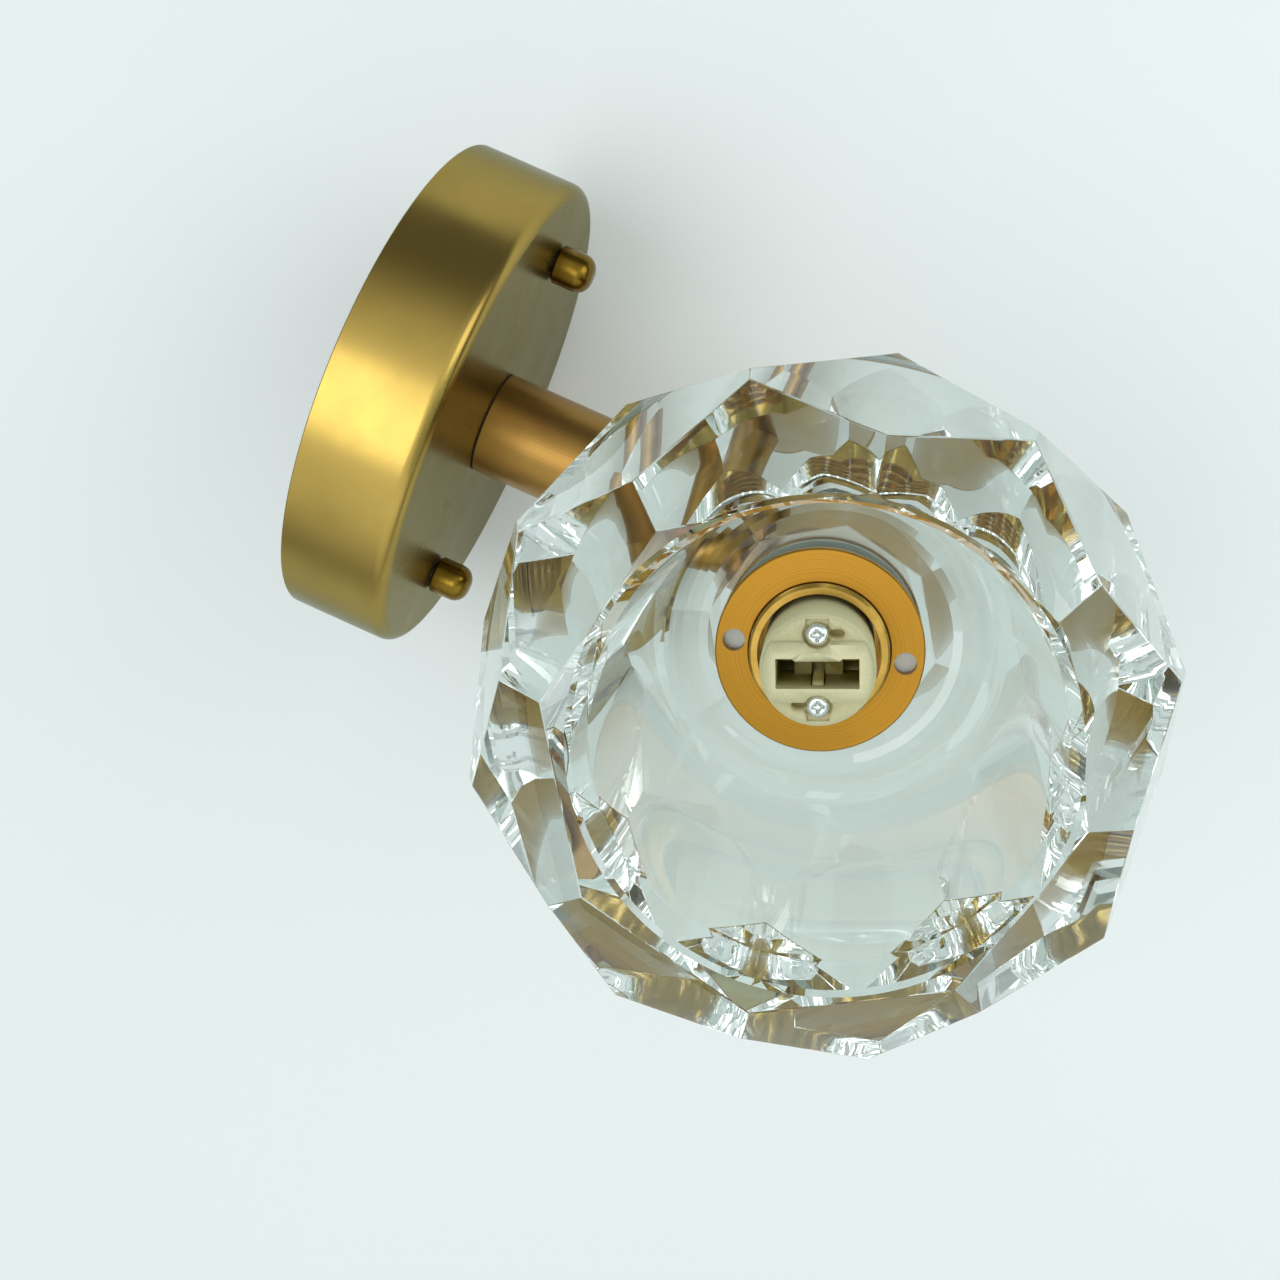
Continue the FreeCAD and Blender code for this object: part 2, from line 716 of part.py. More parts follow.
def contact_pockets(sketch):
    """The two ends of the lamp slot, where the contacts stand."""
    out = "lamp_slot_length / 2"
    within = "(lamp_slot_length / 2 - contact_pocket_length)"
    half = "lamp_slot_width / 2"
    rectangle(sketch, within, out, "-" + half, half)
    rectangle(sketch, "-" + out, "-" + within, "-" + half, half)


def lampholder_body():
    """Lower ceramic: two contact pockets, a thin middle pillar and two screw holes."""
    body = new_body("lampholder_body")
    sketch = sketch_on(body, "XY_Plane")
    circle(sketch, "0", "0", "holder_diameter / 2")
    pad(body, sketch, "holder_body_height")
    sketch = sketch_on(body, "XY_Plane", lift="holder_body_height")
    contact_pockets(sketch)
    pocket(body, sketch, "holder_body_height - contact_pocket_floor")
    sketch = sketch_on(body, "XY_Plane")
    screw_holes(sketch, "holder_screw_diameter / 2 + screw_clearance")
    pocket(body, sketch)
    sketch = sketch_on(body, "XY_Plane", lift="holder_body_height")
    side = "(window_length / 2 - pillar_gap)"
    face = "(lamp_slot_width / 2)"
    rectangle(sketch, "-" + side, side, f"-({face} + pillar_thickness)", "-" + face)
    pad(body, sketch, "holder_cover_height - window_depth - pillar_gap")
    place(body, y="-shade_reach", z=BODY_FOOT)
    turn_upright(body, "holder_turn")


def lampholder_cover():
    """Upper ceramic: raised bar with the lamp slot, and lower lands that hold the screws."""
    body = new_body("lampholder_cover")
    radius = "holder_diameter / 2"
    land = "(holder_cover_height - land_step)"
    bar = "(holder_diameter / 2 - holder_edge_chamfer)"
    turned(body, (
        ("0", "0"),
        (radius, "0"),
        (radius, f"{land} - holder_edge_chamfer"),
        (bar, land),
        (bar, "holder_cover_height"),
        ("0", "holder_cover_height"),
    ))
    sketch = sketch_on(body, "XY_Plane", lift="holder_cover_height")
    rectangle(sketch, "-" + radius, radius, "land_half_width", radius)
    rectangle(sketch, "-" + radius, radius, "-" + radius, "-land_half_width")
    pocket(body, sketch, "land_step")
    sketch = sketch_on(body, "XY_Plane", lift="holder_cover_height")
    out = "lamp_slot_length / 2"
    inner = "(lamp_slot_length / 2 - contact_pocket_length)"
    low = "-lamp_slot_width / 2"
    high = "lamp_slot_width / 2"
    middle = "(lamp_slot_width / 2 - lamp_notch)"
    polygon(sketch, (
        ("-" + out, low),
        (out, low),
        (out, high),
        (inner, high),
        (inner + " - lamp_notch", middle),
        ("-" + inner + " + lamp_notch", middle),
        ("-" + inner, high),
        ("-" + out, high),
    ))
    pocket(body, sketch, "lamp_slot_depth")
    sketch = sketch_on(body, "XY_Plane")
    contact_pockets(sketch)
    screw_holes(sketch, "holder_screw_diameter / 2 + screw_clearance")
    pocket(body, sketch)
    sketch = sketch_on(body, "XY_Plane", lift="holder_cover_height - window_depth")
    back = "-(lamp_slot_width / 2 + pillar_thickness + pillar_gap)"
    front = "-(lamp_slot_width / 2 - window_reach)"
    rectangle(sketch, "-window_length / 2", "window_length / 2", back, front)
    pocket(body, sketch, "holder_cover_height - window_depth")
    sink = "land_step + holder_head_sink"
    row = "holder_screw_pitch / 2"
    sketch = sketch_on(body, "XY_Plane", lift="holder_cover_height")
    screw_holes(sketch, HEAD_BORE)
    pocket(body, sketch, sink)
    side = "holder_head_diameter / 2"
    edge = f"({row} + screw_channel_length)"
    sketch = sketch_on(body, "XY_Plane", lift="holder_cover_height")
    rectangle(sketch, "-" + side, side, row, edge)
    rectangle(sketch, "-" + side, side, "-" + edge, "-" + row)
    pocket(body, sketch, sink)
    middle = f"(key_slot_reach + {side}) / 2"
    length = f"(key_slot_reach - {side})"
    sketch = sketch_on(body, "XY_Plane", lift="holder_cover_height")
    slot(sketch, middle, row, length, "key_slot_width")
    slot(sketch, "-" + middle, "-" + row, length, "key_slot_width")
    pocket(body, sketch, "land_step + key_slot_depth")
    place(body, y="-shade_reach", z=COVER_FOOT)
    turn_upright(body, "holder_turn")


def contact_clips():
    """Two bronze clips, each a folded strip open at the top, for the lamp's pins."""
    clips = []
    half = "(contact_gap / 2 + contact_sheet)"
    height = "holder_body_height - contact_pocket_floor"
    for side in ("", "-"):
        outer = doc.addObject("Part::Box", "ClipBlank")
        bind(outer, "Length", "contact_width")
        bind(outer, "Width", f"2 * {half}")
        bind(outer, "Height", height)
        place(outer, "-contact_width / 2", "-" + half, "0")
        inner = doc.addObject("Part::Box", "ClipGap")
        bind(inner, "Length", "contact_width")
        bind(inner, "Width", "contact_gap")
        bind(inner, "Height", height)
        place(inner, "-contact_width / 2", "-contact_gap / 2", "contact_sheet")
        clip = cut(outer, inner)
        middle = "(lamp_slot_length / 2 - contact_pocket_length / 2)"
        clips.append(place(clip, side + middle))
    pair = group("contact_clips", clips)
    place(pair, y="-shade_reach", z=f"{BODY_FOOT} + contact_pocket_floor")
    turn_upright(pair, "holder_turn")


def socket_screws():
    """Two pan-head screws with a cross recess, from the ceramic's lands down into the saddle."""
    screws = []
    length = f"({HEAD_SEAT} - {BODY_FOOT} + saddle_sheet)"
    top = f"{length} + holder_head_height"
    for side in ("", "-"):
        screw = doc.addObject("PartDesign::Body", "SocketScrew")
        turned(screw, (
            ("0", "0"),
            ("holder_screw_diameter / 2", "0"),
            ("holder_screw_diameter / 2", length),
            ("holder_head_diameter / 2", length),
            ("holder_head_diameter / 2", top),
            ("0", top),
        ))
        dress(screw, "Fillet", "holder_head_height / 2", [("holder_head_diameter / 2", top)])
        for x, y in (("cross_length", "cross_width"), ("cross_width", "cross_length")):
            sketch = sketch_on(screw, "XY_Plane", lift=top)
            rectangle(sketch, f"-{x} / 2", f"{x} / 2", f"-{y} / 2", f"{y} / 2")
            pocket(screw, sketch, "cross_depth")
        screws.append(place(screw, y=side + "holder_screw_pitch / 2"))
    pair = group("socket_screws", screws)
    place(pair, y="-shade_reach", z=f"{BODY_FOOT} - saddle_sheet")
    turn_upright(pair, "holder_turn")


# --- crystal and what clamps it -----------------------------------------------

def gaskets():
    """Soft washers under and over the floor of the crystal."""
    hole = "sleeve_diameter / 2 + glass_hole_clearance"
    lower = tube("lower_gasket_diameter / 2", hole, "lower_gasket_thickness")
    keep(place(lower, y="-shade_reach", z=LID_TOP), "lower_gasket")
    upper = tube("upper_gasket_diameter / 2", hole, "upper_gasket_thickness")
    keep(place(upper, y="-shade_reach", z=BOWL_FLOOR), "upper_gasket")


def facet_row(body, tilt, distance, turn):
    """Grinds one row of flat facets: one cut outside a tilted line, repeated round the axis."""
    sketch = sketch_on(body, "XZ_Plane", turn)
    reach = f"{BLANK_RADIUS} * 2"
    x = f"({distance}) * cos({tilt})"
    y = f"({distance}) * sin({tilt})"
    run_x = f"{reach} * sin({tilt})"
    run_y = f"{reach} * cos({tilt})"
    out_x = f"{BLANK_RADIUS} * cos({tilt})"
    out_y = f"{BLANK_RADIUS} * sin({tilt})"
    polygon(sketch, (
        (f"{x} + {run_x}", f"{y} - {run_y}"),
        (f"{x} + {run_x} + {out_x}", f"{y} - {run_y} + {out_y}"),
        (f"{x} - {run_x} + {out_x}", f"{y} + {run_y} + {out_y}"),
        (f"{x} - {run_x}", f"{y} + {run_y}"),
    ))
    facet = pocket(body, sketch)
    pattern = body.newObject("PartDesign::PolarPattern", "facet_row")
    pattern.Originals = [facet]
    axis = next(item for item in body.Origin.OriginFeatures if item.Role == "Z_Axis")
    pattern.Axis = (axis, [""])
    pattern.Angle = FULL_TURN
    pattern.Occurrences = FACETS
    body.Tip = pattern
    doc.recompute()


def crystal_shade():
    """Thick clear crystal bowl: a turned blank, hollowed, with five rows of ground facets.

    Every row has eight flats at one tilt and one distance from the middle of the
    ball, and each row stands half a step round from the row above it.
    """
    body = new_body("crystal_shade")
    foot = "-ball_rise"
    rim = "rim_rise"
    turned(body, (
        ("0", foot),
        (BLANK_RADIUS, foot),
        (BLANK_RADIUS, rim),
        ("0", rim),
    ))
    bowl_floor = "glass_floor - ball_rise"
    sketch = sketch_on(body, "XZ_Plane")
    polygon(sketch, (
        ("0", bowl_floor),
        ("bowl_floor_radius", bowl_floor),
        ("bowl_lip_radius", f"{rim} - bowl_lip_height"),
        ("bowl_mouth_radius", rim),
        ("0", rim),
    ))
    bowl = body.newObject("PartDesign::Groove", "bowl")
    bowl.Profile = sketch
    bowl.ReferenceAxis = (sketch, ["V_Axis"])
    bowl.Angle = FULL_TURN
    bind(sketch, "AttachmentOffset.Base.x", "bowl_offset")
    doc.recompute()
    dress(body, "Fillet", "bowl_corner_radius", [("bowl_floor_radius", bowl_floor)])
    sketch = sketch_on(body, "XY_Plane")
    circle(sketch, "0", "0", "sleeve_diameter / 2 + glass_hole_clearance")
    pocket(body, sketch)
    turn = "facet_turn - bowl_offset_turn"
    half = f"{turn} + {HALF_STEP}"
    facet_row(body, "row_crown_tilt", "row_crown_distance", half)
    facet_row(body, "row_shoulder_tilt", "row_shoulder_distance", turn)
    facet_row(body, "row_girdle_tilt", "row_girdle_distance", half)
    facet_row(body, "row_under_tilt", "row_under_distance", turn)
    facet_row(body, "row_foot_tilt", ROW_FOOT_DISTANCE, half)
    place(body, y="-shade_reach", z=BALL_MIDDLE)
    turn_upright(body, "bowl_offset_turn")


def retaining_ring():
    """Turned brass ring nut with two spanner holes, screwed down on the sleeve."""
    body = new_body("retaining_ring")
    bore = "sleeve_diameter / 2 + ring_fit"
    outer = "ring_diameter / 2"
    turned(body, (
        (bore, "0"),
        (outer, "0"),
        (outer, "ring_thickness"),
        (bore, "ring_thickness"),
    ))
    dress(body, "Chamfer", "ring_chamfer", [(outer, "ring_thickness"), (bore, "ring_thickness")])
    sketch = sketch_on(body, "XY_Plane")
    circle(sketch, "spanner_hole_pitch / 2", "0", "spanner_hole_diameter / 2")
    circle(sketch, "-spanner_hole_pitch / 2", "0", "spanner_hole_diameter / 2")
    pocket(body, sketch)
    place(body, y="-shade_reach", z="ring_height - ring_thickness")
    turn_upright(body, "spanner_hole_turn")


wall_bracket()
bracket_studs()
stud_lock_nuts()
earth_terminal()
canopy()
cap_nut("cap_nut_right", "")
cap_nut("cap_nut_left", "-")
arm_tube()
arm_bushes()
arm_rod()
rod_fasteners()
socket_cup()
base_cap()
cup_lid()
head_nipple()
socket_sleeve()
holder_saddle()
lampholder_body()
lampholder_cover()
contact_clips()
socket_screws()
gaskets()
crystal_shade()
retaining_ring()
doc.recompute()

for item in doc.Objects:
    if "Invalid" in item.State or "Error" in item.State:
        raise RuntimeError("failed: " + item.Label)
for item in parts:
    if item.Shape.isNull() or not item.Shape.isValid():
        raise RuntimeError("bad shape: " + item.Label)

os.makedirs("parts", exist_ok=True)
for item in parts:
    item.Shape.exportStep("parts/" + item.Label + ".step")
    box = item.Shape.BoundBox
    print("%-18s solids %d  volume %10.1f  box %s" % (
        item.Label, len(item.Shape.Solids), item.Shape.Volume,
        [round(v, 2) for v in (box.XMin, box.YMin, box.ZMin, box.XMax, box.YMax, box.ZMax)]))
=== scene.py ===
import math

import bmesh
import bpy
from mathutils import Matrix, Vector


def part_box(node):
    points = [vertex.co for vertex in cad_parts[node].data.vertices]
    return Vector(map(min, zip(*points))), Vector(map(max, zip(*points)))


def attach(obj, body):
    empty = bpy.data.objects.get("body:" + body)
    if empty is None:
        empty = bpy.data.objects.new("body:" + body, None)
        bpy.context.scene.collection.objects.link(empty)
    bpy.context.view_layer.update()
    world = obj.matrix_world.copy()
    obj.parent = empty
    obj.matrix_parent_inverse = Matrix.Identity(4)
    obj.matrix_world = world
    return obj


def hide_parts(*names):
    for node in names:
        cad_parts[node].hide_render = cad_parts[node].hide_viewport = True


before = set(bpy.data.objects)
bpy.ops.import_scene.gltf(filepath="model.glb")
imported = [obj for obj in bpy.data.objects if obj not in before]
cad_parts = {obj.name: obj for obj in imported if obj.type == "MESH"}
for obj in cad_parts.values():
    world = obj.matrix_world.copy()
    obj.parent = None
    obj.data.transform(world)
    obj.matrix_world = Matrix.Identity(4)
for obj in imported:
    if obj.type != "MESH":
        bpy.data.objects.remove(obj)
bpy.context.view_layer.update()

MM = 0.001


# --- the view -----------------------------------------------------------------
# The camera stands above the room and looks down into the open bowl, close enough
# for strong perspective, with the wall side of the sconce at the upper left. Thick
# cut crystal needs many bounces of light, or its depths go black.

light_bounces = 32
camera_sensor = 36.0
camera_lens = 41.03
camera_near = 10.0 * MM
camera_place = Vector((0.06141, -0.09330, 0.35521))
camera_right = Vector((0.38749, -0.91134, -0.13894))
camera_up = Vector((0.88355, 0.41014, -0.22609))
camera_back = camera_right.cross(camera_up)

bpy.context.scene.view_settings.view_transform = "Standard"
bpy.context.scene.cycles.max_bounces = light_bounces
bpy.context.scene.cycles.transmission_bounces = light_bounces
bpy.context.scene.cycles.glossy_bounces = light_bounces

camera_data = bpy.data.cameras.new("camera")
camera_data.sensor_width = camera_sensor
camera_data.lens = camera_lens
camera_data.clip_start = camera_near
camera = bpy.data.objects.new("camera", camera_data)
bpy.context.scene.collection.objects.link(camera)
camera.matrix_world = Matrix((camera_right, camera_up, camera_back)).transposed().to_4x4()
camera.location = camera_place
bpy.context.scene.camera = camera


# --- zinc-plated steel hardware -----------------------------------------------
# Bracket, rod, nipple, nuts, washers and the lampholder's saddle are pressed or
# rolled steel with a bright zinc coat.

def linear(code):
    """A colour written as #rrggbb, as the shader's linear red, green, blue and alpha."""
    shares = [int(code[i:i + 2], 16) / 255.0 for i in (1, 3, 5)]
    light = [c / 12.92 if c <= 0.04045 else ((c + 0.055) / 1.055) ** 2.4 for c in shares]
    return (*light, 1.0)


def add_node(tree, kind, sockets=None, **settings):
    """Adds a shader node, sets its properties, and sets or links its input sockets."""
    node = tree.nodes.new(kind)
    for name, setting in settings.items():
        setattr(node, name, setting)
    for name, setting in (sockets or {}).items():
        if isinstance(setting, bpy.types.NodeSocket):
            tree.links.new(setting, node.inputs[name])
        else:
            node.inputs[name].default_value = setting
    return node


def new_material(name):
    """An empty material and its node tree."""
    material = bpy.data.materials.new(name)
    material.use_nodes = True
    material.node_tree.nodes.clear()
    return material, material.node_tree


def give(piece, material):
    """Puts one material on a whole piece."""
    piece.data.materials.clear()
    piece.data.materials.append(material)


zinc_colour = linear("#c3c6c8")
zinc_shadow = linear("#a5a9ad")
zinc_mottle = 2.5 * MM
zinc_relief = 0.05 * MM

# Bright zinc plate on steel: grey, slightly blue, in soft mottled patches.
zinc_steel, tree = new_material("zinc_plated_steel")
where = add_node(tree, "ShaderNodeTexCoord").outputs["Object"]
mottle = add_node(tree, "ShaderNodeTexNoise", {
    "Vector": where,
    "Scale": 1 / zinc_mottle,
    "Detail": 4.0,
})
colour = add_node(tree, "ShaderNodeMix", {
    "Factor": mottle.outputs["Fac"],
    "A": zinc_colour,
    "B": zinc_shadow,
}, data_type="RGBA")
rough = add_node(tree, "ShaderNodeMapRange", {
    "Value": mottle.outputs["Fac"],
    "To Min": 0.25,
    "To Max": 0.42,
})
bump = add_node(tree, "ShaderNodeBump", {
    "Height": mottle.outputs["Fac"],
    "Strength": 0.1,
    "Distance": zinc_relief,
})
shader = add_node(tree, "ShaderNodeBsdfPrincipled", {
    "Base Color": colour.outputs["Result"],
    "Metallic": 1.0,
    "Roughness": rough.outputs["Result"],
    "Normal": bump.outputs["Normal"],
})
add_node(tree, "ShaderNodeOutputMaterial", {"Surface": shader.outputs["BSDF"]})

for node in (
    "wall_bracket", "bracket_studs", "stud_lock_nuts", "earth_washer", "wall_washer",
    "wall_nut", "saddle_washer", "cup_nut", "arm_rod", "head_nipple", "head_nut_lower",
    "head_nut_upper", "holder_saddle",
):
    give(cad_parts[node], zinc_steel)


# --- canopy -------------------------------------------------------------------
# A round cover spun from brass sheet, closed in front, with a rounded edge. Its side
# is brushed on the lathe, and its front is polished so that it mirrors the arm.

join_distance = 0.001 * MM


def turned_shape(outline, roundings=(), steps=160):
    """Spins a closed outline of radius and height about Z, with some corners rounded."""
    shape = bmesh.new()
    corners = [shape.verts.new((radius, 0.0, height)) for radius, height in outline]
    for start, end in zip(corners, corners[1:] + corners[:1]):
        if max(start.co.x, end.co.x) > 0.0:
            shape.edges.new((start, end))
    for number, size in roundings:
        bmesh.ops.bevel(shape, geom=[corners[number]], offset=size, segments=8, profile=0.5,
                        affect="VERTICES", material=-1)
    bmesh.ops.spin(shape, geom=shape.verts[:] + shape.edges[:], cent=(0, 0, 0), axis=(0, 0, 1),
                   angle=2 * math.pi, steps=steps, use_merge=True)
    bmesh.ops.remove_doubles(shape, verts=shape.verts, dist=join_distance)
    bmesh.ops.recalc_face_normals(shape, faces=shape.faces)
    return shape


def made_piece(name, shape, material, sharp=35.0):
    """Turns a finished shape into an object, smooth but for edges sharper than an angle."""
    mesh = bpy.data.meshes.new(name)
    shape.to_mesh(mesh)
    shape.free()
    mesh.shade_smooth()
    mesh.set_sharp_from_angle(angle=math.radians(sharp))
    piece = bpy.data.objects.new(name, mesh)
    bpy.context.scene.collection.objects.link(piece)
    give(piece, material)
    return piece


canopy_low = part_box("canopy")[0]
canopy_radius = 60.0 * MM
canopy_depth = -canopy_low.y
canopy_wall = 1.5 * MM
canopy_edge = 3.0 * MM
canopy_rim_round = 0.3 * MM
canopy_rod_hole = 5.2 * MM
flat_end = 0.2 * MM
front_skin = 0.01 * MM
canopy_line = 0.35 * MM
brass_line_depth = 0.01 * MM
canopy_cloud = 18.18 * MM
side_bright = linear("#b89a4c")
side_deep = linear("#977e38")
side_edge_tint = linear("#b3bcb3")
front_bright = linear("#b59c5a")
front_deep = linear("#a48a4a")
front_edge_tint = linear("#b3bccb")

# Brushed and lacquered brass: broad soft highlights, crossed by fine lines round the
# side. The lines are drawn coarser than they are, so that they show.
brushed_brass, tree = new_material("brushed_brass_side")
where = add_node(tree, "ShaderNodeTexCoord").outputs["Object"]
apart = add_node(tree, "ShaderNodeSeparateXYZ", {"Vector": where})
lines = add_node(tree, "ShaderNodeTexNoise", {
    "W": apart.outputs["Y"],
    "Scale": 1 / canopy_line,
    "Detail": 3.0,
    "Roughness": 0.7,
}, noise_dimensions="1D")
clouds = add_node(tree, "ShaderNodeTexNoise", {
    "Vector": where,
    "Scale": 1 / canopy_cloud,
    "Detail": 4.0,
})
colour = add_node(tree, "ShaderNodeMix", {
    "Factor": clouds.outputs["Fac"],
    "A": side_bright,
    "B": side_deep,
}, data_type="RGBA")
rough = add_node(tree, "ShaderNodeMapRange", {
    "Value": clouds.outputs["Fac"],
    "From Min": 0.3,
    "From Max": 0.7,
    "To Min": 0.2,
    "To Max": 0.3,
})
bump = add_node(tree, "ShaderNodeBump", {
    "Height": lines.outputs["Fac"],
    "Strength": 0.35,
    "Distance": brass_line_depth,
})
shader = add_node(tree, "ShaderNodeBsdfPrincipled", {
    "Base Color": colour.outputs["Result"],
    "Metallic": 1.0,
    "Roughness": rough.outputs["Result"],
    "Specular Tint": side_edge_tint,
    "Coat Weight": 0.3,
    "Coat Roughness": 0.3,
    "Normal": bump.outputs["Normal"],
})
add_node(tree, "ShaderNodeOutputMaterial", {"Surface": shader.outputs["BSDF"]})

# Polished brass: a nearly clear mirror, with faint circles, that turns grey where it
# is seen at a grazing angle.
mirror_brass, tree = new_material("polished_brass_front")
where = add_node(tree, "ShaderNodeTexCoord").outputs["Object"]
apart = add_node(tree, "ShaderNodeSeparateXYZ", {"Vector": where})
flat = add_node(tree, "ShaderNodeCombineXYZ", {
    "X": apart.outputs["X"],
    "Z": apart.outputs["Z"],
})
radius = add_node(tree, "ShaderNodeVectorMath", {0: flat.outputs["Vector"]}, operation="LENGTH")
lines = add_node(tree, "ShaderNodeTexNoise", {
    "W": radius.outputs["Value"],
    "Scale": 1 / canopy_line,
    "Detail": 3.0,
    "Roughness": 0.7,
}, noise_dimensions="1D")
colour = add_node(tree, "ShaderNodeMix", {
    "Factor": lines.outputs["Fac"],
    "A": front_bright,
    "B": front_deep,
}, data_type="RGBA")
bump = add_node(tree, "ShaderNodeBump", {
    "Height": lines.outputs["Fac"],
    "Strength": 0.03,
    "Distance": brass_line_depth,
})
shader = add_node(tree, "ShaderNodeBsdfPrincipled", {
    "Base Color": colour.outputs["Result"],
    "Metallic": 1.0,
    "Roughness": 0.035,
    "Specular Tint": front_edge_tint,
    "Normal": bump.outputs["Normal"],
})
add_node(tree, "ShaderNodeOutputMaterial", {"Surface": shader.outputs["BSDF"]})

# The canopy is turned about Z with its rim on the ground, then tipped so that it
# faces the room. The narrow flat ends beside the rounded edge keep the front flat.
into_room = Matrix.Rotation(math.radians(90), 3, "X")
shape = turned_shape((
    (canopy_radius - canopy_wall, 0.0),
    (canopy_radius, 0.0),
    (canopy_radius, canopy_depth - canopy_edge - flat_end),
    (canopy_radius, canopy_depth),
    (canopy_radius - canopy_edge - flat_end, canopy_depth),
    (canopy_rod_hole, canopy_depth),
    (canopy_rod_hole, canopy_depth - canopy_wall),
    (canopy_radius - canopy_wall, canopy_depth - canopy_wall),
), roundings=(
    (3, canopy_edge),
    (7, canopy_edge - canopy_wall / 2),
    (0, canopy_rim_round),
    (1, canopy_rim_round),
))
for face in shape.faces:
    in_front = face.calc_center_median().z > canopy_depth - front_skin
    face.material_index = 1 if in_front else 0
bmesh.ops.rotate(shape, verts=shape.verts, matrix=into_room)
canopy = made_piece("canopy_cover", shape, brushed_brass)
canopy.data.materials.append(mirror_brass)
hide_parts("canopy")
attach(canopy, "sconce")


# --- domed cap nuts -----------------------------------------------------------
# Round nuts turned from brass bar, with a broken edge at the foot, a blind bore and
# a domed end. Each is screwed on a stud that comes through the canopy.

nut_bore = 2.05 * MM
nut_blind = 7.6 * MM
nut_dome = 3.6 * MM
nut_foot = 0.6 * MM
nut_stain = 2.5 * MM
nut_bright = linear("#8c7028")
nut_tarnish = linear("#5a4514")

# Turned brass bar, polished and a little tarnished: dark olive gold with stains.
turned_brass, tree = new_material("turned_brass_polished")
where = add_node(tree, "ShaderNodeTexCoord").outputs["Object"]
stains = add_node(tree, "ShaderNodeTexNoise", {
    "Vector": where,
    "Scale": 1 / nut_stain,
    "Detail": 4.0,
})
colour = add_node(tree, "ShaderNodeMix", {
    "Factor": stains.outputs["Fac"],
    "A": nut_bright,
    "B": nut_tarnish,
}, data_type="RGBA")
rough = add_node(tree, "ShaderNodeMapRange", {
    "Value": stains.outputs["Fac"],
    "To Min": 0.15,
    "To Max": 0.35,
})
shader = add_node(tree, "ShaderNodeBsdfPrincipled", {
    "Base Color": colour.outputs["Result"],
    "Metallic": 1.0,
    "Roughness": rough.outputs["Result"],
})
add_node(tree, "ShaderNodeOutputMaterial", {"Surface": shader.outputs["BSDF"]})

for node, body in (("cap_nut_right", "right_nut"), ("cap_nut_left", "left_nut")):
    low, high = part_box(node)
    nut_radius = (high.x - low.x) / 2
    nut_length = high.y - low.y
    shape = turned_shape((
        (nut_bore, 0.0),
        (nut_radius - nut_foot, 0.0),
        (nut_radius, nut_foot),
        (nut_radius, nut_length),
        (0.0, nut_length),
        (0.0, nut_blind),
        (nut_bore, nut_blind),
    ), roundings=((3, nut_dome),), steps=64)
    bmesh.ops.rotate(shape, verts=shape.verts, matrix=into_room)
    bmesh.ops.translate(shape, verts=shape.verts, vec=((low.x + high.x) / 2, high.y, 0.0))
    nut = made_piece(node + "_dome", shape, turned_brass)
    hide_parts(node)
    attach(nut, body)


# --- arm ----------------------------------------------------------------------
# Straight drawn brass tube, brushed along its length and coped to the cup. A thin nearly black
# ring of painted shade marks the seam and keeps its end off the polished canopy.

def merged_copy(node, name, material, sharp=30.0):
    """A copy of a CAD piece with its triangles joined, so that round faces look smooth."""
    shape = bmesh.new()
    shape.from_mesh(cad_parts[node].data)
    bmesh.ops.remove_doubles(shape, verts=shape.verts, dist=join_distance)
    piece = made_piece(name, shape, material, sharp)
    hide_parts(node)
    return piece


arm_low, arm_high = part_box("arm_tube")
arm_radius = (arm_high.x - arm_low.x) / 2
arm_grain = 0.25 * MM
arm_grain_stretch = (1.0, 0.03, 1.0)
arm_cloud = 14.29 * MM
arm_light = linear("#ab8846")
arm_dark = linear("#835f30")
seat_thickness = 0.35 * MM
seat_inner = arm_radius - 1.1 * MM
seat_outer = arm_radius - 0.3 * MM
# Painted shade for the seam at the arm's foot: near-black, lightly mottled.
seam_shade_mottle = 1.11 * MM
seam_shade_dark = linear("#1d1712")
seam_shade_pale = linear("#33291f")

# Drawn brass with a satin brush: brown-gold, with a soft highlight and a grain that
# runs along the tube. The grain is drawn coarser than it is, so that it shows.
satin_brass, tree = new_material("satin_brass_tube")
where = add_node(tree, "ShaderNodeTexCoord").outputs["Object"]
drawn = add_node(tree, "ShaderNodeMapping", {"Vector": where, "Scale": arm_grain_stretch})
grain = add_node(tree, "ShaderNodeTexNoise", {
    "Vector": drawn.outputs["Vector"],
    "Scale": 1 / arm_grain,
    "Detail": 3.0,
})
clouds = add_node(tree, "ShaderNodeTexNoise", {
    "Vector": where,
    "Scale": 1 / arm_cloud,
    "Detail": 3.0,
})
colour = add_node(tree, "ShaderNodeMix", {
    "Factor": clouds.outputs["Fac"],
    "A": arm_light,
    "B": arm_dark,
}, data_type="RGBA")
bump = add_node(tree, "ShaderNodeBump", {
    "Height": grain.outputs["Fac"],
    "Strength": 0.4,
    "Distance": brass_line_depth,
})
shader = add_node(tree, "ShaderNodeBsdfPrincipled", {
    "Base Color": colour.outputs["Result"],
    "Metallic": 1.0,
    "Roughness": 0.36,
    "Normal": bump.outputs["Normal"],
})
add_node(tree, "ShaderNodeOutputMaterial", {"Surface": shader.outputs["BSDF"]})

arm = merged_copy("arm_tube", "arm_tube_satin", satin_brass)
for vertex in arm.data.vertices:
    vertex.co.y = min(vertex.co.y, -canopy_depth - seat_thickness)
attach(arm, "sconce")
